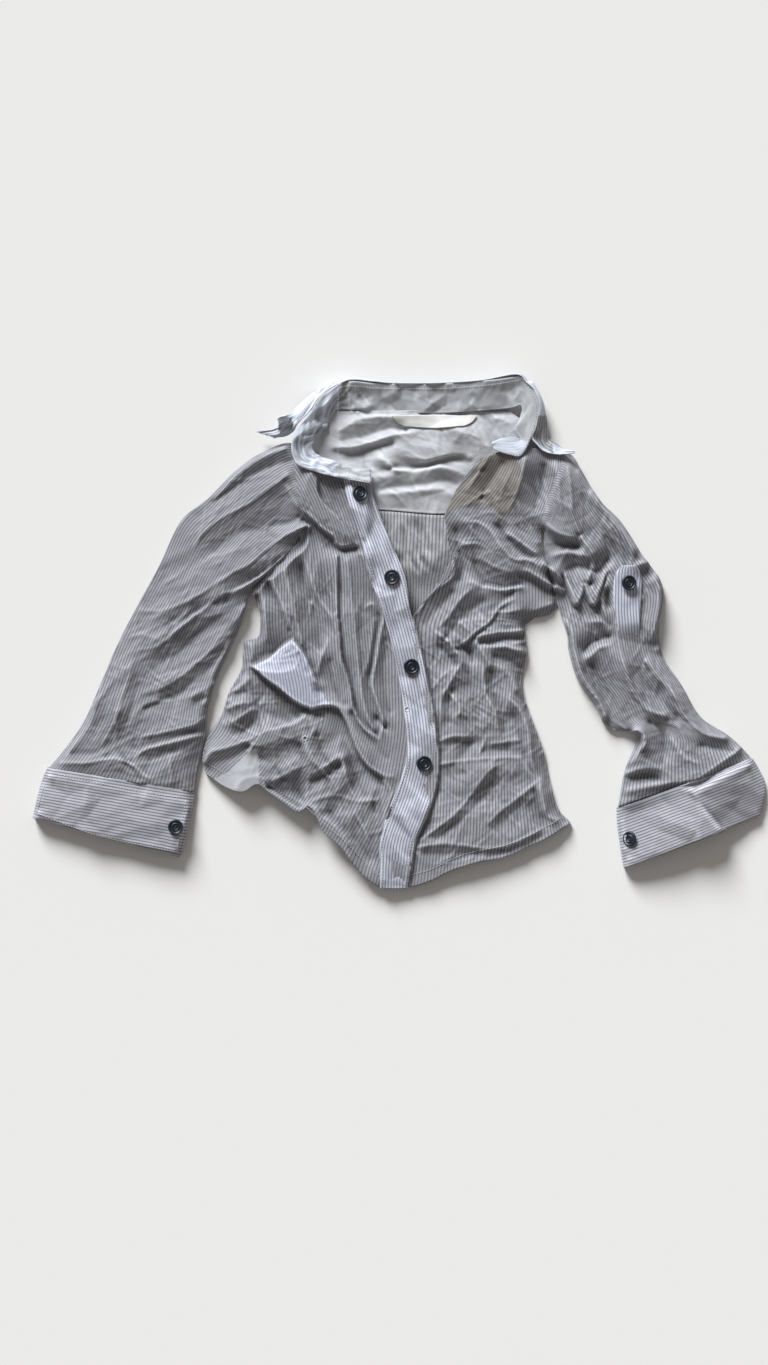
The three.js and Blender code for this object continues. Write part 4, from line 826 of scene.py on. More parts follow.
def cloth_coordinates(grid, lean=None):
    """Distance across and along the stripes, mm, measured over the folds of a grid of (x, y, z) rows.
    Without a lean field the stripes run down the grid's columns."""
    across = np.diff(grid, axis=1)
    down = np.diff(grid, axis=0)
    across_length = np.linalg.norm(across, axis=2)
    down_length = np.linalg.norm(down, axis=2)
    if lean is None:
        u = integrate(across_length, np.zeros_like(down_length))
        v = integrate(np.zeros_like(across_length), down_length)
        return np.stack([u, v], axis=2)
    angle = lean(grid[..., 0], grid[..., 1])
    fields = []
    for nx, ny in ((np.cos(angle), -np.sin(angle)), (np.sin(angle), np.cos(angle))):
        steps = []
        for step, length, mean in (
            (across, across_length, lambda f: (f[:, 1:] + f[:, :-1]) / 2),
            (down, down_length, lambda f: (f[1:] + f[:-1]) / 2),
        ):
            flat = np.maximum(np.linalg.norm(step[..., :2], axis=2), 1e-3)
            stretch = np.clip(length / flat, 1, 1.8)
            steps.append((step[..., 0] * mean(nx) + step[..., 1] * mean(ny)) * stretch)
        fields.append(integrate(*steps))
    return np.stack(fields, axis=2)


# ---- meshes ----

def to_frame(grid):
    """Plan mm to the frame's metres."""
    out = np.empty_like(grid)
    out[..., 0] = (grid[..., 0] - PLAN_ORIGIN[0]) * MM
    out[..., 1] = (PLAN_ORIGIN[1] - grid[..., 1]) * MM
    out[..., 2] = grid[..., 2] * MM
    return out


def crease_strength(points):
    """How far each point of a grid stands out from the cloth round it: up to 1 on a crest, down to -1 in
    a hollow."""
    soft = np.stack([blur(points[..., k], 4) for k in range(3)], axis=2)
    normal = np.cross(np.gradient(soft, axis=1), np.gradient(soft, axis=0))
    normal /= np.maximum(np.linalg.norm(normal, axis=2), 1e-9)[..., None]
    out = ((points - soft) * normal).sum(2) * np.sign(normal[..., 2] + 1e-9)
    out[:3] = out[-3:] = 0
    out[:, :3] = out[:, -3:] = 0
    return np.clip(out / CREST_PAINT_HEIGHT, -1, 1)


def cloth_object(name, points, cloth_uv, thickness, materials, closed=False, patch=None):
    """A thin shell through a grid of frame points. closed joins the last column to the first;
    patch says for each face which of the materials it takes."""
    rows, cols = points.shape[:2]
    index = np.arange(rows * cols).reshape(rows, cols)
    right = np.roll(index, -1, axis=1) if closed else index[:, 1:]
    here = index if closed else index[:, :-1]
    quads = np.stack([here[:-1], here[1:], right[1:], right[:-1]], axis=-1).reshape(-1, 4)
    mesh = bpy.data.meshes.new(name)
    mesh.from_pydata(points.reshape(-1, 3).tolist(), [], quads.tolist())
    wide = cloth_uv[:, :-1]
    next_uv = cloth_uv[:, 1:]
    corners = np.stack([wide[:-1], wide[1:], next_uv[1:], next_uv[:-1]], axis=2)
    layer = mesh.uv_layers.new(name="cloth_mm")
    layer.data.foreach_set("uv", corners.reshape(-1).astype(np.float32))
    mesh.polygons.foreach_set("use_smooth", np.ones(len(quads), bool))
    for material in materials:
        mesh.materials.append(material)
    if patch is not None:
        mesh.polygons.foreach_set("material_index", patch.reshape(-1).astype(np.int32))
    # this crease attribute drives a painted highlight with rubbed wear on crests, and painted shade with a
    # little dust in hollows
    wear_and_painted_light = mesh.attributes.new("crease", "FLOAT", "POINT")
    wear_and_painted_light.data.foreach_set("value", crease_strength(points / MM).reshape(-1).astype(np.float32))
    mesh.update()
    obj = bpy.data.objects.new(name, mesh)
    bpy.context.scene.collection.objects.link(obj)
    shell = obj.modifiers.new("Thickness", "SOLIDIFY")
    shell.thickness = thickness * MM
    shell.offset = -1
    return obj


def turned_edge(grid, side, radius=1.5, foot=1.2):
    """Adds the cloth that turns down and under along the left or right side of a grid."""
    if side == "right":
        return turned_edge(grid[:, ::-1], "left", radius, foot)[:, ::-1]
    edge = grid[:, 0]
    out = edge[:, :2] - grid[:, 2, :2]
    out /= np.maximum(np.linalg.norm(out, axis=1), 1e-9)[:, None]
    columns = []
    for angle in (35, 65, 90):
        bend = math.radians(angle)
        xy = edge[:, :2] + out * radius * math.sin(bend)
        z = np.maximum(edge[:, 2] - radius * (1 - math.cos(bend)), foot)
        columns.insert(0, np.column_stack([xy, z]))
    low = columns[0].copy()
    low[:, 2] = foot
    columns.insert(0, low)
    return np.concatenate([np.stack(columns, axis=1), grid], axis=1)


def tube_grid(sections, surface, start_drop=0.0):
    """Rings of plan points round a laid tube: the folded upper side, then the flat side under it."""
    table = np.array(sections, float)
    middle = (table[:, :2] + table[:, 2:]) / 2
    rows = int(length_of(middle) / SPACING)
    run = curve(np.column_stack([middle, table]), rows + 1)
    outer, inner = run[:, 2:4], run[:, 4:6]
    width = np.linalg.norm(inner - outer, axis=1)
    across = (inner - outer) / width[:, None]
    columns = int(width.max() / SPACING)
    turn = 1.5
    share = np.linspace(0, 1, columns + 1)
    reach = turn + (width[:, None] - 2 * turn) * share[None]
    xy = outer[:, None] + across[:, None] * reach[..., None]
    z = surface(xy[..., 0], xy[..., 1])
    z = z - start_drop * (1 - ease(np.arange(rows + 1), 0, 6))[:, None]
    z = np.maximum(z, TABLE_GAP + turn)
    top = np.concatenate([xy, z[..., None]], axis=2)

    def side(edge, direction):
        centre = (edge[:, 2] + TABLE_GAP) / 2
        radius = (edge[:, 2] - TABLE_GAP) / 2
        bends = np.radians([25, 50, 75, 105, 135, 160])
        out = edge[:, None, :2] + direction[:, None] * (turn * np.sin(bends))[None, :, None]
        return np.concatenate([out, (centre[:, None] + radius[:, None] * np.cos(bends))[..., None]], axis=2)

    under_share = np.linspace(1, 0, 24)
    reach = turn + (width[:, None] - 2 * turn) * under_share[None]
    xy = outer[:, None] + across[:, None] * reach[..., None]
    under = np.concatenate([xy, np.full(xy.shape[:2] + (1,), TABLE_GAP)], axis=2)
    near = side(under[:, -1] * [1, 1, 0] + top[:, 0] * [0, 0, 1], -across)[:, ::-1]
    return np.concatenate([top, side(top[:, -1], across), under, near], axis=1)


def strip_grid(rows, crumple, seed):
    """A strip of cloth through sections of three frame points (first edge, middle, second edge), mm."""
    table = np.array(rows, float)
    span = int(length_of(table) / STRIP_SPACING) + 2
    run = curve(table, span)
    a, b, c = run[:, None, 0:3], run[:, None, 3:6], run[:, None, 6:9]
    wide = float(np.linalg.norm(c - a, axis=2).max())
    w = np.linspace(0, 1, int(wide / STRIP_SPACING) + 3)[None, :, None]
    control = 2 * b - (a + c) / 2
    p = (1 - w) ** 2 * a + 2 * w * (1 - w) * control + w**2 * c
    normal = np.cross(np.gradient(p, axis=0), np.gradient(p, axis=1))
    normal /= np.maximum(np.linalg.norm(normal, axis=2), 1e-9)[..., None]
    creases = HeightMap(0, 0, span * STRIP_SPACING, wide, 0)
    creases.height = np.zeros(creases.shape)
    creases.facets(crumple, STRIP_FACETS, seed)
    creases.crumple(crumple, seed)
    x = np.arange(p.shape[0])[:, None] * STRIP_SPACING + 0 * w[..., 0]
    y = w[..., 0] * wide + 0 * x
    return p + normal * creases.at(x, y)[..., None]


def distance_to(rows, x, y):
    """Distance on the plan from each point to a curve, mm."""
    p = curve(rows, 60)
    return np.sqrt(((x[..., None] - p[:, 0]) ** 2 + (y[..., None] - p[:, 1]) ** 2).min(-1))


def inside(polygon, x, y):
    """Whether plan points lie in a polygon."""
    result = np.zeros(np.shape(x), bool)
    corners = list(polygon)
    for (x0, y0), (x1, y1) in zip(corners, corners[1:] + corners[:1]):
        crosses = ((y0 > y) != (y1 > y)) & (x < (x1 - x0) * (y - y0) / ((y1 - y0) or 1e-9) + x0)
        result ^= crosses
    return result


_maps = {}


def outer_map():
    """Heights of the outer cloth, worked out once."""
    if "outer" not in _maps:
        relief = HeightMap(*OUTER_BOX, OUTER_LEVEL)
        for sections in (LEFT_SLEEVE, LEFT_CUFF, RIGHT_SLEEVE, RIGHT_CUFF):
            relief.line([(x, y, OUTLINE_HEIGHT) for x, y, _, _ in sections])
            relief.line([(x, y, OUTLINE_HEIGHT) for _, _, x, y in sections])
        for rows in (FRONT_LEFT["left"][5:], FRONT_RIGHT["right"][5:]):
            relief.line([(x, y, OUTLINE_HEIGHT) for x, y in rows])
        for rows in HEM_LINES:
            relief.line(rows)
        for rows in OUTER_LINES:
            relief.line(rows)
        for rows in OUTER_EDGES:
            relief.edge(rows)
        gy, gx = np.mgrid[0:relief.shape[0], 0:relief.shape[1]] * CELL
        gx, gy = gx + relief.left, gy + relief.top
        share = [1 / ((gx - x) ** 2 + (gy - y) ** 2 + 400) ** 2 for x, y, _ in FOLD_DEPTH]
        gain = sum(w * depth for w, (_, _, depth) in zip(share, FOLD_DEPTH)) / sum(share)
        relief.settle(gain)
        calm = HeightMap(*OUTER_BOX, OUTER_LEVEL)
        calm.height = relief.height.copy()
        calm.facets(BAND_CRUMPLE, BAND_FACETS, SEED + 9)
        _maps["calm"] = calm
        relief.facets(OUTER_CRUMPLE, OUTER_FACETS, SEED + 5)
        relief.crumple(OUTER_CRUMPLE, SEED)
        for rows in OUTER_LINES:
            if np.mean([z for _, _, z in rows]) > CREST:
                relief.pinch([(x, y) for x, y, _ in rows], tall=0.95)
        for rows in OUTER_EDGES:
            relief.pinch([(x, y) for x, y, _, _ in rows], tall=1.2, wide=2.6, aside=1.0)
        relief.height = np.maximum(relief.height, LOWEST)
        _maps["outer"] = relief
    return _maps["outer"]


def calm_map():
    """The outer heights with broad facets in place of the small creases, for the fused pieces."""
    outer_map()
    return _maps["calm"]


def inner_map():
    """Heights of the yoke and the back, worked out once."""
    if "inner" not in _maps:
        relief = HeightMap(*INNER_BOX, INNER_LEVEL)
        for rows in INNER_LINES:
            relief.line(rows)
        relief.settle()
        relief.facets(INNER_CRUMPLE, INNER_FACETS, SEED + 2)
        relief.crumple(INNER_CRUMPLE, SEED + 1)
        relief.height = np.maximum(relief.height, INNER_LOWEST)
        _maps["inner"] = relief
    return _maps["inner"]


# ---- materials ----

def linear(hex_colour):
    """An sRGB hex colour as linear RGBA."""
    parts = [int(hex_colour[i:i + 2], 16) / 255 for i in (1, 3, 5)]
    return tuple(c / 12.92 if c <= 0.04045 else ((c + 0.055) / 1.055) ** 2.4 for c in parts) + (1.0,)


def add_node(tree, kind, settings=None, inputs=None):
    """Adds one shader node, sets its properties, and fills its inputs with values or links."""
    node = tree.nodes.new(kind)
    for name, value in (settings or {}).items():
        setattr(node, name, value)
    for name, value in (inputs or {}).items():
        socket = node.inputs[name]
        if isinstance(value, bpy.types.NodeSocket):
            tree.links.new(value, socket)
        else:
            socket.default_value = value
    return node


def new_material(name):
    """An empty material and its node tree."""
    material = bpy.data.materials.new(name)
    material.use_nodes = True
    tree = material.node_tree
    tree.nodes.clear()
    return material, tree


def finish_material(tree, colour, bump_height, bump_mm, roughness, sheen):
    """Ends a cloth's node tree: matt cotton with a little sheen from its loose fibres."""
    bump = add_node(tree, "ShaderNodeBump", None, {
        "Height": bump_height, "Distance": bump_mm * MM, "Strength": 1.0})
    cloth = add_node(tree, "ShaderNodeBsdfPrincipled", None, {
        "Base Color": colour, "Roughness": roughness, "Sheen Weight": sheen, "Sheen Roughness": 0.45,
        "Specular IOR Level": 0.25, "Normal": bump.outputs["Normal"]})
    add_node(tree, "ShaderNodeOutputMaterial", None, {"Surface": cloth.outputs["BSDF"]})


def cloth_height(tree, plane, place):
    """Fine relief of woven cotton: its threads, and small soft rumples too fine to model."""
    threads = [
        add_node(tree, "ShaderNodeMath", {"operation": "SINE"}, {
            0: add_node(tree, "ShaderNodeMath", {"operation": "MULTIPLY"}, {
                0: axis, 1: 2 * math.pi / THREAD_PITCH}).outputs[0]}).outputs[0]
        for axis in (plane.outputs["X"], plane.outputs["Y"])
    ]
    weave = add_node(tree, "ShaderNodeMath", {"operation": "MULTIPLY"}, {0: threads[0], 1: threads[1]})
    rumple = add_node(tree, "ShaderNodeTexNoise", {"noise_dimensions": "3D"}, {
        "Vector": place, "Scale": 1 / (RUMPLE_SIZE * MM), "Detail": 3.0, "Roughness": 0.55})
    slubs = add_node(tree, "ShaderNodeTexNoise", {"noise_dimensions": "3D"}, {
        "Vector": place, "Scale": 1 / (SLUB_SIZE * MM), "Detail": 2.0, "Roughness": 0.6})
    fine = add_node(tree, "ShaderNodeMath", {"operation": "MULTIPLY_ADD"}, {
        0: weave.outputs[0], 1: 0.02, 2: add_node(tree, "ShaderNodeMath", {"operation": "MULTIPLY"}, {
            0: slubs.outputs["Fac"], 1: 0.10}).outputs[0]})
    total = add_node(tree, "ShaderNodeMath", {"operation": "MULTIPLY_ADD"}, {
        0: rumple.outputs["Fac"], 1: 0.9, 2: fine.outputs[0]})
    return total.outputs[0]


def wear_and_painted_light(tree, colour):
    """Cotton painted paler along its crests, for rubbed wear and a painted highlight, and darker in its
    hollows, for painted shade with a little dust.
    """
    crease = add_node(tree, "ShaderNodeAttribute", {"attribute_name": "crease"})
    tone = add_node(tree, "ShaderNodeMapRange", None, {
        "Value": crease.outputs["Fac"], "From Min": -1.0, "From Max": 1.0, "To Min": 1 - HOLLOW_SHADE_AND_DUST,
        "To Max": 1 + CREST_HIGHLIGHT_AND_WEAR})
    mixed = add_node(tree, "ShaderNodeVectorMath", {"operation": "SCALE"}, {
        0: colour, "Scale": tone.outputs[0]})
    return mixed.outputs[0]


def striped_poplin(name, light, dark, rumple_mm=0.55):
    """Yarn-dyed cotton poplin: dark and light yarns give the eye a fine pinstripe that breaks at folds,
    with a matt, slightly hairy surface."""
    material, tree = new_material(name)
    coordinates = add_node(tree, "ShaderNodeUVMap", {"uv_map": "cloth_mm"})
    plane = add_node(tree, "ShaderNodeSeparateXYZ", None, {"Vector": coordinates.outputs["UV"]})
    place = add_node(tree, "ShaderNodeNewGeometry").outputs["Position"]
    wander = add_node(tree, "ShaderNodeTexNoise", {"noise_dimensions": "2D"}, {
        "Vector": coordinates.outputs["UV"], "Scale": 1 / STRAY_SIZE, "Detail": 2.0})
    shifted = add_node(tree, "ShaderNodeMath", {"operation": "MULTIPLY_ADD"}, {
        0: wander.outputs["Fac"], 1: STRIPE_STRAY, 2: plane.outputs["X"]})
    count = add_node(tree, "ShaderNodeMath", {"operation": "DIVIDE"}, {
        0: shifted.outputs[0], 1: bpy.context.scene.shirt.stripe_pitch})
    phase = add_node(tree, "ShaderNodeMath", {"operation": "PINGPONG"}, {0: count.outputs[0], 1: 0.5})
    stripe = add_node(tree, "ShaderNodeMapRange", {"interpolation_type": "SMOOTHSTEP"}, {
        "Value": phase.outputs[0], "From Min": 0.12, "From Max": 0.28})
    uneven = add_node(tree, "ShaderNodeTexNoise", {"noise_dimensions": "2D"}, {
        "Vector": coordinates.outputs["UV"], "Scale": 1 / DYE_SIZE, "Detail": 3.0, "Roughness": 0.7})
    worn = add_node(tree, "ShaderNodeMapRange", None, {
        "Value": uneven.outputs["Fac"], "From Min": 0.3, "From Max": 0.7, "To Min": 0.80, "To Max": 1.0})
    depth = add_node(tree, "ShaderNodeMath", {"operation": "MULTIPLY"}, {
        0: stripe.outputs["Result"], 1: worn.outputs["Result"]})
    yarns = add_node(tree, "ShaderNodeMix", {"data_type": "RGBA"}, {
        "Factor": depth.outputs[0], 6: dark, 7: light})
    finish_material(tree, wear_and_painted_light(tree, yarns.outputs[2]), cloth_height(tree, plane, place), rumple_mm,
                    roughness=0.82, sheen=0.12)
    return material


def plain_poplin(name, colour, rumple_mm=0.5, roughness=0.82):
    """The wrong side of the poplin and the fused neckband: one pale tone with the weave just felt."""
    material, tree = new_material(name)
    coordinates = add_node(tree, "ShaderNodeUVMap", {"uv_map": "cloth_mm"})
    plane = add_node(tree, "ShaderNodeSeparateXYZ", None, {"Vector": coordinates.outputs["UV"]})
    place = add_node(tree, "ShaderNodeNewGeometry").outputs["Position"]
    finish_material(tree, wear_and_painted_light(tree, colour[:3]), cloth_height(tree, plane, place), rumple_mm,
                    roughness, sheen=0.12)
    return material


def satin_tape():
    """Woven satin label tape: off-white, smoother than the shirt, with a soft shine along its floats."""
    material, tree = new_material("woven satin tape")
    cloth = add_node(tree, "ShaderNodeBsdfPrincipled", None, {
        "Base Color": linear("#c6c5c2"), "Roughness": 0.42, "Sheen Weight": 0.1})
    add_node(tree, "ShaderNodeOutputMaterial", None, {"Surface": cloth.outputs["BSDF"]})
    return material


def polyester_resin():
    """Cast polyester button resin: near-black navy with a low polish."""
    material, tree = new_material("cast polyester resin")
    resin = add_node(tree, "ShaderNodeBsdfPrincipled", None, {
        "Base Color": linear("#16202c"), "Roughness": 0.45, "IOR": 1.5})
    add_node(tree, "ShaderNodeOutputMaterial", None, {"Surface": resin.outputs["BSDF"]})
    return material


def sewing_thread(name, colour):
    """Spun polyester sewing thread: soft, faintly glossy beads along a seam."""
    material, tree = new_material(name)
    thread = add_node(tree, "ShaderNodeBsdfPrincipled", None, {
        "Base Color": colour, "Roughness": 0.6, "Sheen Weight": 0.2})
    add_node(tree, "ShaderNodeOutputMaterial", None, {"Surface": thread.outputs["BSDF"]})
    return material


_materials = {}


def material_for(key):
    """The material of one finish, made when a piece first asks for it."""
    settings = bpy.context.scene.shirt
    makers = {
        "striped": lambda: striped_poplin(
            "striped cotton poplin", tuple(settings.light_yarn), tuple(settings.dark_yarn)),
        # the neck facing's wrong side, painted darker and warmer than the body as painted shade from the
        # collar over it
        "facing": lambda: striped_poplin(
            "striped poplin facing with painted shade", linear("#7e7a77"), linear("#5a5755"), 0.4),
        # the collar's cloth, painted paler and bluer than the body as a painted highlight for the light on
        # the collar
        "leaf": lambda: striped_poplin(
            "fused collar poplin with painted highlight", linear("#b9bdc8"), linear("#a9aeb9"), 0.3),
        # the turned-up corner, painted paler and bluer than the body as a painted highlight on that raised
        # fold
        "turned": lambda: striped_poplin(
            "turned-up striped poplin with painted highlight", linear("#a8aab7"), linear("#7b7d89"), 0.4),
        "cuff": lambda: striped_poplin(
            "fused cuff poplin", linear("#a1a0a8"), linear("#68676d"), 0.2),
        "hem": lambda: plain_poplin("turned hem poplin", linear("#97989c")),
        # the doubled band, painted paler and bluer than the body: partly its fused double layer, partly a
        # painted highlight
        "band": lambda: striped_poplin(
            "fused striped poplin with painted highlight", linear("#b6b8c4"), linear("#7d7d88"), 0.2),
        "inside": lambda: striped_poplin(
            "striped poplin wrong side", linear("#98989b"), linear("#6c6c71"), 0.4),
        "plain": lambda: plain_poplin("white cotton poplin", linear("#a9aaae")),
        "neckband": lambda: plain_poplin("fused neckband poplin", linear("#a2a4a8"), 0.25, 0.7),
        "satin": satin_tape,
        "resin": polyester_resin,
        "pale thread": lambda: sewing_thread("pale spun thread", linear("#cfcfd4")),
        "dark thread": lambda: sewing_thread("navy spun thread", linear("#1d2733")),
    }
    if key not in _materials:
        _materials[key] = makers[key]()
    return _materials[key]


# ---- small fittings ----

def join_meshes(name, parts, material):
    """One mesh object from lists of (vertices, faces), in metres."""
    vertices, faces = [], []
    for points, quads in parts:
        base = len(vertices)
        vertices += points
        faces += [[base + i for i in face] for face in quads]
    mesh = bpy.data.meshes.new(name)
    mesh.from_pydata(vertices, [], faces)
    mesh.polygons.foreach_set("use_smooth", np.ones(len(faces), bool))
    mesh.materials.append(material)
    mesh.update()
    obj = bpy.data.objects.new(name, mesh)
    bpy.context.scene.collection.objects.link(obj)
    return obj


def lathe_part(profile, sides, place, turn):
    """A turned ring or disc from (radius, height) rows, mm, placed by a point and a 3x3 turn."""
    points, quads = [], []
    for r, z in profile:
        for k in range(sides):
            a = 2 * math.pi * k / sides
            p = turn @ np.array([r * math.cos(a), r * math.sin(a), z]) * MM + place
            points.append(tuple(p))
    for i in range(len(profile) - 1):
        for k in range(sides):
            n = (k + 1) % sides
            quads.append([i * sides + k, i * sides + n, (i + 1) * sides + n, (i + 1) * sides + k])
    quads.append(list(range(sides))[::-1])
    quads.append([(len(profile) - 1) * sides + k for k in range(sides)])
    return points, quads


def bead_part(start, end, radius, bulge=0.35):
    """One stitch: a short thread from start to end that rises between its holes, all in mm."""
    start, end = np.array(start, float), np.array(end, float)
    direction = end - start
    length = np.linalg.norm(direction)
    if length < 1e-6:
        return [], []
    direction /= length
    side = np.cross(direction, [0, 0, 1])
    side /= max(np.linalg.norm(side), 1e-6)
    up = np.cross(side, direction)
    points, quads = [], []
    for share, size in ((0, 0.45), (0.2, 1), (0.8, 1), (1, 0.45)):
        centre = start + direction * length * share + up * bulge * math.sin(math.pi * share) ** 0.5
        for k in range(5):
            a = 2 * math.pi * k / 5
            points.append(tuple((centre + (side * math.cos(a) + up * math.sin(a)) * radius * size) * MM))
    for i in range(3):
        for k in range(5):
            n = (k + 1) % 5
            quads.append([i * 5 + k, i * 5 + n, (i + 1) * 5 + n, (i + 1) * 5 + k])
    quads += [[4, 3, 2, 1, 0], [15, 16, 17, 18, 19]]
    return points, quads


def stitch_parts(path, pitch=3.0, stitch=2.1, radius=0.24):
    """Stitches along a path of frame points, mm."""
    path = np.array(path, float)
    run = np.concatenate([[0], np.cumsum(np.linalg.norm(np.diff(path, axis=0), axis=1))])
    parts = []
    for s in np.arange(0, run[-1] - stitch, pitch):
        ends = [[np.interp(t, run, path[:, k]) for k in range(3)] for t in (s, s + stitch)]
        parts.append(bead_part(*ends, radius))
    return parts


def plan_path(rows, surface, lift):
    """A plan curve laid on a surface, as frame points in mm."""
    p = curve(rows, max(8, int(length_of(rows) / 1.5)))
    z = surface(p[:, 0], p[:, 1]) + lift
    return np.column_stack([p[:, 0] - PLAN_ORIGIN[0], PLAN_ORIGIN[1] - p[:, 1], z])


def ring_parts(x, y, z, radius=2.3, thread=0.55, sides=16):
    """A small stitched eyelet: a ring of thread."""
    turns = [2 * math.pi * k / sides for k in range(sides + 1)]
    x, y = x - PLAN_ORIGIN[0], PLAN_ORIGIN[1] - y
    ring = [(x + radius * math.cos(a), y + radius * math.sin(a), z) for a in turns]
    return [bead_part(a, b, thread, 0.1) for a, b in zip(ring[:-1], ring[1:])]


def settle_piece(obj, node=None):
    """Puts a piece on the garment's body, in place of a CAD node if it has one."""
    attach(obj, "root")
    if node:
        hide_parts(node)
    return obj


# ---- operators: one for each piece or group of like pieces ----

class SHIRT_PG_settings(bpy.types.PropertyGroup):
    wall: bpy.props.FloatProperty(
        name="Cloth thickness", description="Thickness of one layer of poplin, in millimetres",
        default=CLOTH, min=0.2, max=2.0)
    stripe_pitch: bpy.props.FloatProperty(
        name="Stripe pitch", description="One light and one dark stripe, in millimetres",
        default=STRIPE_PITCH, min=0.5, max=30.0)
    light_yarn: bpy.props.FloatVectorProperty(
        name="Light yarn", description="Colour of the body's light stripes",
        subtype="COLOR", size=4, min=0.0, max=1.0, default=linear(LIGHT_YARN))
    dark_yarn: bpy.props.FloatVectorProperty(
        name="Dark yarn", description="Colour of the body's dark stripes",
        subtype="COLOR", size=4, min=0.0, max=1.0, default=linear(DARK_YARN))
    stitches: bpy.props.BoolProperty(
        name="Stitching", description="Whether the seams' stitches are built", default=True)


def body_patch(grid, polygons):
    """For each face of a body grid, which material patch it lies in."""
    middle = (grid[:-1, :-1] + grid[1:, 1:]) / 2
    patch = np.zeros(middle.shape[:2], int)
    for number, polygon in polygons:
        patch[inside(polygon, middle[..., 0], middle[..., 1])] = number
    return patch


ARMPIT_FOLD = [(302, 530), (301, 541), (291, 551), (278, 563), (265, 578), (252, 592)]
TURNED_CORNER = [(253, 666), (262, 662), (271, 657), (281, 648), (292, 640), (304, 654), (312, 668),
                 (318, 683),
                 (325, 697), (331, 707), (310, 709), (296, 702), (283, 690), (268, 679)]
TURNED_HEM = [(214, 778), (229, 772), (245, 755), (256, 748), (260, 760), (259.5, 792), (240, 796),
              (214, 786)]
NECK_FACING = [(444, 520), (450, 500), (462, 484), (472, 473), (488, 448), (500, 448), (512, 456),
               (521, 470),
               (520, 486), (512, 502), (503, 520), (492, 508), (478, 504), (464, 508), (452, 512)]


class SHIRT_OT_fronts(bpy.types.Operator):
    """Build the two front panels with their folds, hems and turned-up corner"""
    bl_idname = "shirt.fronts"
    bl_label = "Build fronts"

    def execute(self, context):
        relief = outer_map()
        lean = lean_field(BODY_LEAN)
        for name, edges, side, patches, flat, share in (
            ("front_left_cloth", FRONT_LEFT, "left", [(1, TURNED_HEM), (2, TURNED_CORNER)],
             (0.25, 0.46), 0.62),
            ("front_right_cloth", FRONT_RIGHT, "right", [(1, NECK_FACING)],
             (0.25, 0.46), 0.62),
        ):
            plan = panel_grid(edges)
            z = relief.at(plan[..., 0], plan[..., 1]) + FRONT_LIFT
            if side == "left":
                under_sleeve = distance_to(ARMPIT_FOLD, plan[..., 0], plan[..., 1])
                z = np.minimum(z, 9 + 8 * ease(under_sleeve, 2.0, 12.0))  # goes under the sleeve's fold
            grid = turned_edge(np.concatenate([plan, z[..., None]], axis=2), side)
            uv = cloth_coordinates(grid, lean)
            second = "hem" if side == "left" else "facing"
            obj = cloth_object(name, to_frame(grid), uv, context.scene.shirt.wall,
                               [material_for("striped"), material_for(second), material_for("turned")],
                               patch=body_patch(grid, patches))
            settle_piece(obj, name.replace("_cloth", ""))
        return {"FINISHED"}


class SHIRT_OT_placket(bpy.types.Operator):
    """Build the buttoned front band that covers the other front's edge"""
    bl_idname = "shirt.placket"
    bl_label = "Build front band"

    def execute(self, context):
        relief = calm_map()
        left = [(x, y) for y, x, _ in PLACKET]
        right = [(x, y) for y, _, x in PLACKET]
        edges = {"top": [left[0], right[0]], "bottom": [left[-1], right[-1]], "left": left, "right": right}
        plan = panel_grid(edges)
        z = relief.at(plan[..., 0], plan[..., 1]) + BAND_LIFT
        grid = np.concatenate([plan, z[..., None]], axis=2)
        obj = cloth_object("placket_cloth", to_frame(grid), cloth_coordinates(grid), BAND,
                           [material_for("band")])
        settle_piece(obj, "placket")
        return {"FINISHED"}


BACK_HIDDEN = 590  # plan y from which the back is covered and lies flat
BACK_FLAT = 0.9  # its height there, mm


class SHIRT_OT_back(bpy.types.Operator):
    """Build the back and its yoke, whose wrong sides show through the neck"""
    bl_idname = "shirt.back"
    bl_label = "Build back and yoke"

    def execute(self, context):
        relief = inner_map()
        plan = panel_grid(BACK, BACK_SPACING)
        shown = ease(BACK_HIDDEN - plan[..., 1], 0, 30)
        z = BACK_FLAT + (relief.at(plan[..., 0], plan[..., 1]) - BACK_FLAT) * shown
        grid = np.concatenate([plan, z[..., None]], axis=2)
        back = cloth_object("back_cloth", to_frame(grid), cloth_coordinates(grid, lean_field(BACK_LEAN)),
                            context.scene.shirt.wall, [material_for("inside")])
        settle_piece(back, "back")
        plan = panel_grid(YOKE)
        z = relief.at(plan[..., 0], plan[..., 1]) + YOKE_LIFT
        grid = np.concatenate([plan, z[..., None]], axis=2)
        yoke = cloth_object("back_yoke_cloth", to_frame(grid), cloth_coordinates(grid),
                            context.scene.shirt.wall, [material_for("plain")])
        settle_piece(yoke, "back_yoke")
        return {"FINISHED"}


class SHIRT_OT_sleeves(bpy.types.Operator):
    """Build the two sleeves as laid tubes with a folded upper side"""
    bl_idname = "shirt.sleeves"
    bl_label = "Build sleeves"

    def execute(self, context):
        relief = outer_map()
        heads = {
            "sleeve_left": [(297, 446, 309, 528)] + LEFT_SLEEVE,
            "sleeve_right": [(560, 450, 534, 529)] + RIGHT_SLEEVE,
        }
        for name, sections in heads.items():
            grid = tube_grid(sections, relief.at, start_drop=1.6)
            uv = cloth_coordinates(np.concatenate([grid, grid[:, :1]], axis=1))
            obj = cloth_object(name + "_cloth", to_frame(grid), uv, context.scene.shirt.wall,
                               [material_for("striped")], closed=True)
            settle_piece(obj, name)
        return {"FINISHED"}


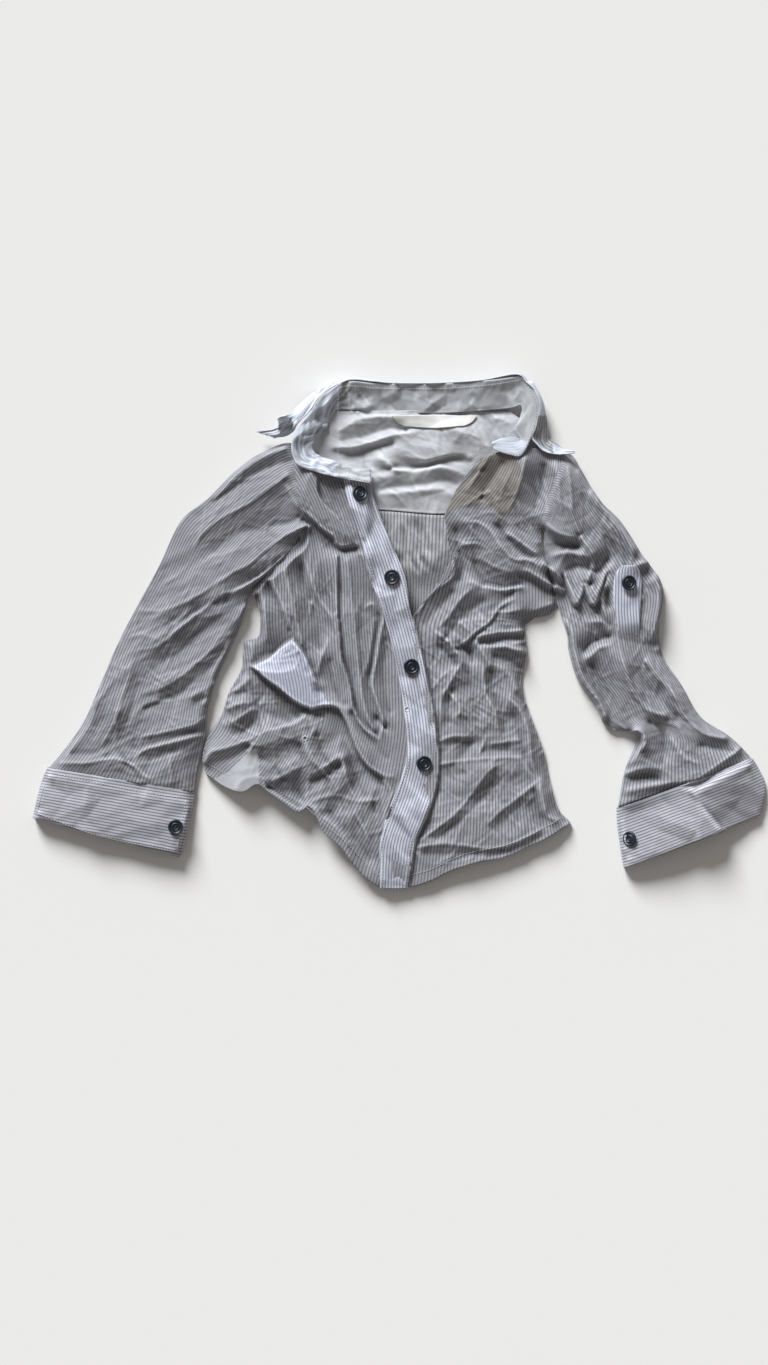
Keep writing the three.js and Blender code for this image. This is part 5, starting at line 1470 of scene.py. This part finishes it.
class SHIRT_OT_cuffs(bpy.types.Operator):
    """Build the two fused cuffs, whose stripes run round the wrist"""
    bl_idname = "shirt.cuffs"
    bl_label = "Build cuffs"

    def execute(self, context):
        relief = calm_map()

        def surface(x, y):
            return relief.at(x, y) + CUFF_LIFT

        for name, sections in (("cuff_left", LEFT_CUFF), ("cuff_right", RIGHT_CUFF)):
            grid = tube_grid(sections, surface)
            uv = cloth_coordinates(np.concatenate([grid, grid[:, :1]], axis=1))[..., ::-1]
            obj = cloth_object(name + "_cloth", to_frame(grid), uv, BAND, [material_for("cuff")],
                               closed=True)
            settle_piece(obj, name)
        return {"FINISHED"}


TAB = [  # left x, right x, y: from its pointed end under the button to where it goes under a fold
    (620, 634, 566), (614, 640, 575), (612, 640.5, 592), (613, 639, 610), (616, 638.5, 628),
    (620, 638, 644),
]


class SHIRT_OT_tab(bpy.types.Operator):
    """Build the roll-up tab buttoned to the right sleeve"""
    bl_idname = "shirt.tab"
    bl_label = "Build sleeve tab"

    def execute(self, context):
        relief = outer_map()
        edges = {
            "top": [(TAB[0][0], TAB[0][2]), (TAB[0][1], TAB[0][2])],
            "bottom": [(TAB[-1][0], TAB[-1][2]), (TAB[-1][1], TAB[-1][2])],
            "left": [(x, y) for x, _, y in TAB], "right": [(x, y) for _, x, y in TAB],
        }
        plan = panel_grid(edges, SMALL_SPACING)
        rise = 2.6 * ease(TAB[-1][2] - plan[..., 1], 0, 22) - 0.8  # goes under a fold at its lower end
        z = blur(relief.at(plan[..., 0], plan[..., 1]), 6) + rise
        grid = np.concatenate([plan, z[..., None]], axis=2)
        obj = cloth_object("sleeve_tab_cloth", to_frame(grid), cloth_coordinates(grid), BAND,
                           [material_for("band")])
        settle_piece(obj, "sleeve_tab")
        return {"FINISHED"}


# Sections of three frame points in mm: first edge, middle, second edge.
STAND_ROWS = [  # the first edge is the neck seam, the second carries the leaf
    (-30, 163, 13, -30, 156, 16, -30, 148, 17), (-40, 163.5, 13, -42, 157, 16.5, -43, 150, 18),
    (-58, 168, 13, -61, 161, 17, -63, 154, 18.5), (-74, 174, 12.5, -79, 166.5, 17, -83, 159, 18.5),
    (-87, 181, 12, -96, 173, 17, -104, 168, 18), (-88, 189, 11.5, -99, 186, 17, -109, 184, 18),
    (-80, 198, 11, -92, 199, 17, -103, 202, 19), (-72, 207, 10, -82, 211, 16, -92, 216, 19.5),
    (-66, 216, 9, -73, 223, 15, -81, 231, 19.5), (-63, 222, 8.5, -64, 233, 13, -66, 244, 18),
    (-45, 221, 8, -47, 234, 11.5, -50, 250, 15), (-25, 219, 8, -26, 232, 10, -26, 248, 14),
    (-10, 219, 8, -10, 231, 9.5, -10, 248, 13.5), (39, 219, 8, 39, 231, 9.5, 39, 248, 13.5),
    (79, 221, 8, 79, 234, 10, 79, 250.5, 14.5), (112, 224, 10, 114, 239, 12.5, 116, 254.5, 17),
    (119, 226, 12, 120, 241, 14, 120.5, 256, 17.5), (118, 214, 13, 126, 226, 15.5, 132.5, 239.5, 17.5),
    (114, 204, 13.5, 126, 216, 15.5, 137, 228, 17.5), (115, 197, 14, 126, 205, 15.5, 136.5, 215, 17),
    (119, 193, 14.5, 124, 194, 15.5, 130, 195, 16.5), (112, 194, 15, 117, 185, 16.5, 120.5, 177, 17),
    (101, 193.5, 14, 104.5, 184, 16, 108, 176.5, 16.5), (90, 189, 14, 91, 185, 15, 92.5, 181.5, 15),
]
STAND_TURN = -64  # left of this the stand turns over and shows its outer side, in the collar's cloth with its painted highlight, mm
STAND_END = (86, 194)  # past this x and below this y it does so at its right end, mm
# painted shade: here the leaf takes the darker wrong-side cloth to stand for the shadow under it
LEAF_PAINTED_SHADE = [(134.5, 217), (147, 217), (149, 196), (151, 177), (138, 186), (128, 196)]
LEAF_ROWS = [  # the first edge is the fold at the stand, the second the leaf's outer edge
    (-126, 194, 12, -135, 197, 11, -144, 200, 10), (-124, 194, 12, -125, 198, 12.5, -126, 202.5, 13),
    (-116, 195, 11, -120, 203, 16, -122, 211, 24), (-107, 200, 13, -111, 208, 18, -114, 215, 25),
    (-104, 205, 20, -108, 212, 20, -110, 217, 17), (-93, 217, 21, -97, 222, 19, -100, 228, 10),
    (-82, 232, 21, -85, 237, 18, -86, 242, 6), (-67, 245, 19.5, -68, 250, 14, -69, 250, 3),
    (-50, 251, 16.5, -51, 252, 9, -53, 240, 2), (-28, 250, 15.6, -28, 247, 8, -28, 219, 1.6),
    (-10, 248.6, 14.6, -10, 240, 8, -10, 208, 1.2), (39, 248.6, 14.6, 39, 240, 8, 39, 206, 1.2),
    (79, 251, 15.6, 79, 243, 8, 79, 208, 1.2), (118, 256, 18.2, 119, 252, 11, 118, 232, 3),
    (124, 248.5, 18.6, 126, 249.5, 17.5, 128, 250, 14),
    (132.5, 240, 18.6, 134, 241.5, 17.5, 135.5, 242.5, 13),
    (137, 228, 18.6, 139.5, 229.5, 17, 141.5, 230, 12), (136.5, 216, 18.2, 141, 216, 15.5, 145, 214.5, 10),
    (133, 203, 18, 140, 203, 12.5, 146, 204, 8.5), (130, 194, 18, 139, 192, 11.5, 147, 194, 8),
    (137, 184, 18, 144, 184, 12, 150, 189, 10), (148, 177.5, 16, 153, 180, 14, 158, 185, 11.5),
    (172, 179, 15, 172.5, 179.8, 14.6, 173, 180.6, 14),
]
SEAM_SHARE = 0.86  # how far across the stand its stitches run


class SHIRT_OT_collar(bpy.types.Operator):
    """Build the collar's stand and its turned-over leaf"""
    bl_idname = "shirt.collar"
    bl_label = "Build collar"

    def execute(self, context):
        for name, rows, crumple, key, thickness, slot, flat, share in (
            ("collar_stand_cloth", STAND_ROWS,
             [(30, 14, 40, 20, 50, 20, 1.3), (90, 14, 50, 20, 50, 30, 2.2), (230, 14, 90, 0, 30, 20, 1.0),
              (420, 14, 60, 20, 50, 20, 1.0)],
             "neckband", BAND, "plain_poplin", (0.43, 0.031), 0.9),
            ("collar_cloth", LEAF_ROWS, [(40, 20, 60, 20, 60, 30, 1.3), (400, 16, 60, 20, 50, 20, 1.0)],
             "leaf", BAND, "striped_poplin", (0.41, 0.045), 0.8),
        ):
            grid = strip_grid(rows, crumple, SEED + 3)
            grid[..., 2] = np.maximum(grid[..., 2], 1.2)
            uv = cloth_coordinates(grid)
            gx, gy = grid[:-1, :-1, 0], grid[:-1, :-1, 1]
            right_end = (gx > STAND_END[0]) & (gy < STAND_END[1])
            patch = ((gx < STAND_TURN) | right_end).astype(int)
            if key == "leaf":
                # painted shade: the darker wrong-side cloth where the leaf lies in shadow
                patch[inside(LEAF_PAINTED_SHADE, gx, gy)] = 2
            materials = [material_for(key), material_for("leaf"), material_for("inside")]
            obj = cloth_object(name, grid * MM, uv, thickness, materials, patch=patch)
            if key == "neckband":
                _maps["stand seam"] = grid[:, int(SEAM_SHARE * grid.shape[1])]
            settle_piece(obj, "collar_stand" if "stand" in name else "collar")
        return {"FINISHED"}


LABEL = {
    "top": [(391, 416.5), (434, 416), (477, 416.5)],
    "left": [(391, 416.5), (396, 423), (405, 427.5)],
    "bottom": [(405, 427.5), (434, 429.5), (463, 427.5)],
    "right": [(477, 416.5), (472, 423), (463, 427.5)],
}


class SHIRT_OT_label(bpy.types.Operator):
    """Build the bare neck label"""
    bl_idname = "shirt.label"
    bl_label = "Build neck label"

    def execute(self, context):
        relief = inner_map()
        plan = panel_grid(LABEL, SMALL_SPACING)
        z = np.maximum(blur(relief.at(plan[..., 0], plan[..., 1]), 3), 6) + 2.2
        grid = np.concatenate([plan, z[..., None]], axis=2)
        obj = cloth_object("label_cloth", to_frame(grid), cloth_coordinates(grid), CLOTH,
                           [material_for("satin")])
        settle_piece(obj, "label")
        return {"FINISHED"}


BUTTONS = [  # node, plan x, plan y, diameter, how far the cloth that it sits on is over the height map
    ("button_1", 359.5, 495, 15.5, BAND_LIFT), ("button_2", 392, 578, 15.5, BAND_LIFT),
    ("button_3", 411, 666.5, 15.5, BAND_LIFT), ("button_4", 423.5, 763, 15.5, BAND_LIFT),
    ("cuff_button_left", 177, 826, 15, CUFF_LIFT), ("cuff_button_right", 629, 838, 15, CUFF_LIFT),
    ("tab_button", 627, 583.5, 15, TAB_LIFT),
]
HOLE = 1.15  # how far a button's holes lie from its middle, both ways, mm
HOLE_RADIUS = 0.62
WRIST_TILT = (-0.5, 0)  # the right cuff's button leans with the cuff's rolled edge


def button_pose(x, y, base, tilt=(0, 0)):
    """Where a button sits on the cloth round it, in metres, and the 3x3 turn that lays it there."""
    relief = calm_map()
    reach = 5.0
    points = np.array([(x + dx, y + dy) for dx in (-reach, 0, reach) for dy in (-reach, 0, reach)])
    z = relief.at(points[:, 0], points[:, 1]) + base
    fit = np.column_stack([points[:, 0] - x, -(points[:, 1] - y), np.ones(len(points))])
    slope_x, slope_y, level = np.linalg.lstsq(fit, z, rcond=None)[0]
    normal = Vector((-slope_x + tilt[0], -slope_y + tilt[1], 1)).normalized()
    turn = np.array(Vector((0, 0, 1)).rotation_difference(normal).to_matrix())
    place = np.array([x - PLAN_ORIGIN[0], PLAN_ORIGIN[1] - y, level + 0.5]) * MM
    return place, turn


class SHIRT_OT_buttons(bpy.types.Operator):
    """Build the seven four-hole buttons and the threads that hold them"""
    bl_idname = "shirt.buttons"
    bl_label = "Build buttons"

    def execute(self, context):
        for number, (node, x, y, diameter, base) in enumerate(BUTTONS):
            r = diameter / 2
            place, turn = button_pose(x, y, base, WRIST_TILT if node == "cuff_button_right" else (0, 0))
            profile = [
                (0.01, 0), (r - 0.8, 0), (r, 0.9), (r, 1.9), (r - 0.35, 2.7), (r - 0.9, 3.0),
                (r - 1.5, 2.85), (r - 2.0, 2.2), (r - 2.5, 1.9), (r * 0.56, 1.9), (r * 0.52, 2.5),
                (r * 0.46, 2.75), (r * 0.40, 2.55), (r * 0.36, 1.9), (0.01, 1.8),
            ]
            disc = lathe_part(profile, 48, place, turn)
            body = join_meshes(node + "_resin", [disc], material_for("resin"))
            holes = []
            for i, j in ((1, 1), (1, -1), (-1, 1), (-1, -1)):
                at = place + turn @ np.array([i * HOLE, j * HOLE, 1.75]) * MM
                plug = [(0.01, 0), (HOLE_RADIUS, 0), (HOLE_RADIUS, 0.12), (0.01, 0.12)]
                holes.append(lathe_part(plug, 14, at, turn))
            settle_piece(body, node)
            spin = math.radians(20 * number)  # each is sewn on at its own angle
            c, s = math.cos(spin), math.sin(spin)
            local = np.array([[c, -s, 0], [s, c, 0], [0, 0, 1]])
            threads = []
            for i in (-1, 1):
                for shift in (-0.25, 0.25):
                    ends = [np.array([i * HOLE + shift, j, 2.0]) for j in (-1.5, 1.5)]
                    a, b = [place / MM + turn @ local @ end for end in ends]
                    threads.append(bead_part(a, b, 0.26, 0.5))
            sewn = join_meshes(node + "_thread", threads, material_for("dark thread"))
            settle_piece(sewn, None)
            eyes = join_meshes(node + "_holes", holes, material_for("dark thread"))
            settle_piece(eyes, None)
        return {"FINISHED"}


CUFF_STITCHES = [
    [(52, 772), (99, 782), (146, 792), (192, 798)],
    [(38, 812), (99, 834), (149, 845), (180, 851)],
    [(187, 800), (178, 850)],
    [(46, 784), (39, 812)],
    [(622, 812), (651, 801), (678, 792), (697, 790), (714, 779), (750, 765)],
    [(627, 862), (651, 856), (681, 844), (714, 830)],
    [(622, 814), (624, 838), (627, 861)],
]
HEM_STITCHES = [
    [(207, 763), (230, 775)],
    [(262, 776), (284, 794), (300, 801), (324, 821), (342, 837), (362, 858), (383, 878)],
    [(412, 874), (432, 868), (450, 859), (473, 851), (505, 844), (527, 835), (549, 824), (562, 816)],
]
FRONT_EYELET = (305.5, 738.0)
BAND_EYELET = (407.0, 709.0)
SEAM_STITCH_LIFT = 0.35


class SHIRT_OT_stitching(bpy.types.Operator):
    """Build the topstitching of the band, cuffs, collar stand and hems, and two stitched eyelets"""
    bl_idname = "shirt.stitching"
    bl_label = "Build stitching"

    def execute(self, context):
        if not context.scene.shirt.stitches:
            return {"FINISHED"}
        relief = outer_map()
        calm = calm_map()
        band_rows = [
            [(x + 2.5, y) for y, x, _ in PLACKET[1:]], [(x - 3.0, y) for y, _, x in PLACKET[1:]],
        ]
        runs = [(calm, BAND_STITCH_LIFT, rows) for rows in band_rows]
        runs += [(calm, CUFF_STITCH_LIFT, rows) for rows in CUFF_STITCHES]
        runs += [(relief, HEM_STITCH_LIFT, rows) for rows in HEM_STITCHES]
        parts = []
        for surface, lift, rows in runs:
            parts += stitch_parts(plan_path(rows, surface.at, lift))
        seam = _maps["stand seam"]
        parts += stitch_parts(seam[seam[:, 0] > STAND_TURN] + [0, 0, SEAM_STITCH_LIFT])
        for surface, lift, (x, y) in (
            (relief, EYELET_LIFT, FRONT_EYELET), (calm, BAND_EYELET_LIFT, BAND_EYELET),
        ):
            parts += ring_parts(x, y, float(surface.at(np.array(x), np.array(y))) + lift)
        obj = join_meshes("topstitching", parts, material_for("pale thread"))
        settle_piece(obj)
        return {"FINISHED"}


class SHIRT_OT_stage(bpy.types.Operator):
    """Build the pale floor, the soft light and the camera straight above"""
    bl_idname = "shirt.stage"
    bl_label = "Build stage"

    def execute(self, context):
        scene = context.scene
        mesh = bpy.data.meshes.new("floor")
        half = FLOOR_HALF
        corners = [(-half, -half, 0), (half, -half, 0), (half, half, 0), (-half, half, 0)]
        mesh.from_pydata(corners, [], [[0, 1, 2, 3]])
        floor = bpy.data.objects.new("floor", mesh)
        scene.collection.objects.link(floor)
        material, tree = new_material("matt white board")
        board = add_node(tree, "ShaderNodeBsdfPrincipled", None, {
            "Base Color": linear("#e8e6e4"), "Roughness": 0.9, "Specular IOR Level": 0.1})
        add_node(tree, "ShaderNodeOutputMaterial", None, {"Surface": board.outputs["BSDF"]})
        mesh.materials.append(material)
        world = bpy.data.worlds.new("studio")
        world.use_nodes = True
        background = world.node_tree.nodes["Background"]
        background.inputs["Color"].default_value = FILL_COLOUR
        background.inputs["Strength"].default_value = FILL
        scene.world = world
        sun = bpy.data.lights.new("softbox", "SUN")
        sun.energy = KEY
        sun.angle = math.radians(KEY_SPREAD)
        sun.color = KEY_COLOUR
        key = bpy.data.objects.new("softbox", sun)
        key.rotation_euler = Vector(KEY_DIRECTION).to_track_quat("Z", "Y").to_euler()
        scene.collection.objects.link(key)
        lens = bpy.data.cameras.new("overhead")
        lens.sensor_fit = "VERTICAL"
        lens.sensor_height = SENSOR
        lens.lens = SENSOR * CAMERA_HEIGHT / (VIEW_HEIGHT * MM)
        lens.dof.use_dof = False
        lens.clip_start = 0.1
        camera = bpy.data.objects.new("overhead", lens)
        x, y = (VIEW_CENTRE[0] - PLAN_ORIGIN[0]) * MM, (PLAN_ORIGIN[1] - VIEW_CENTRE[1]) * MM
        camera.location = (x, y, CAMERA_HEIGHT)
        scene.collection.objects.link(camera)
        scene.camera = camera
        scene.view_settings.view_transform = "Standard"
        return {"FINISHED"}


class SHIRT_PT_panel(bpy.types.Panel):
    """Sidebar panel of the shirt's pieces"""
    bl_label = "Shirt"
    bl_idname = "SHIRT_PT_panel"
    bl_space_type = "VIEW_3D"
    bl_region_type = "UI"
    bl_category = "Shirt"

    def draw(self, context):
        for setting in ("wall", "stripe_pitch", "light_yarn", "dark_yarn", "stitches"):
            self.layout.prop(context.scene.shirt, setting)
        for operator in OPERATORS:
            self.layout.operator(operator.bl_idname)


OPERATORS = (
    SHIRT_OT_stage, SHIRT_OT_back, SHIRT_OT_sleeves, SHIRT_OT_cuffs, SHIRT_OT_tab, SHIRT_OT_fronts,
    SHIRT_OT_placket, SHIRT_OT_collar, SHIRT_OT_label, SHIRT_OT_buttons, SHIRT_OT_stitching,
)
CLASSES = (SHIRT_PG_settings,) + OPERATORS + (SHIRT_PT_panel,)


def register():
    for cls in CLASSES:
        bpy.utils.register_class(cls)
    bpy.types.Scene.shirt = bpy.props.PointerProperty(type=SHIRT_PG_settings)


def unregister():
    del bpy.types.Scene.shirt
    for cls in reversed(CLASSES):
        bpy.utils.unregister_class(cls)


def main():
    register()
    for operator in OPERATORS:
        category, name = operator.bl_idname.split(".")
        getattr(getattr(bpy.ops, category), name)()


if __name__ == "__main__":
    main()
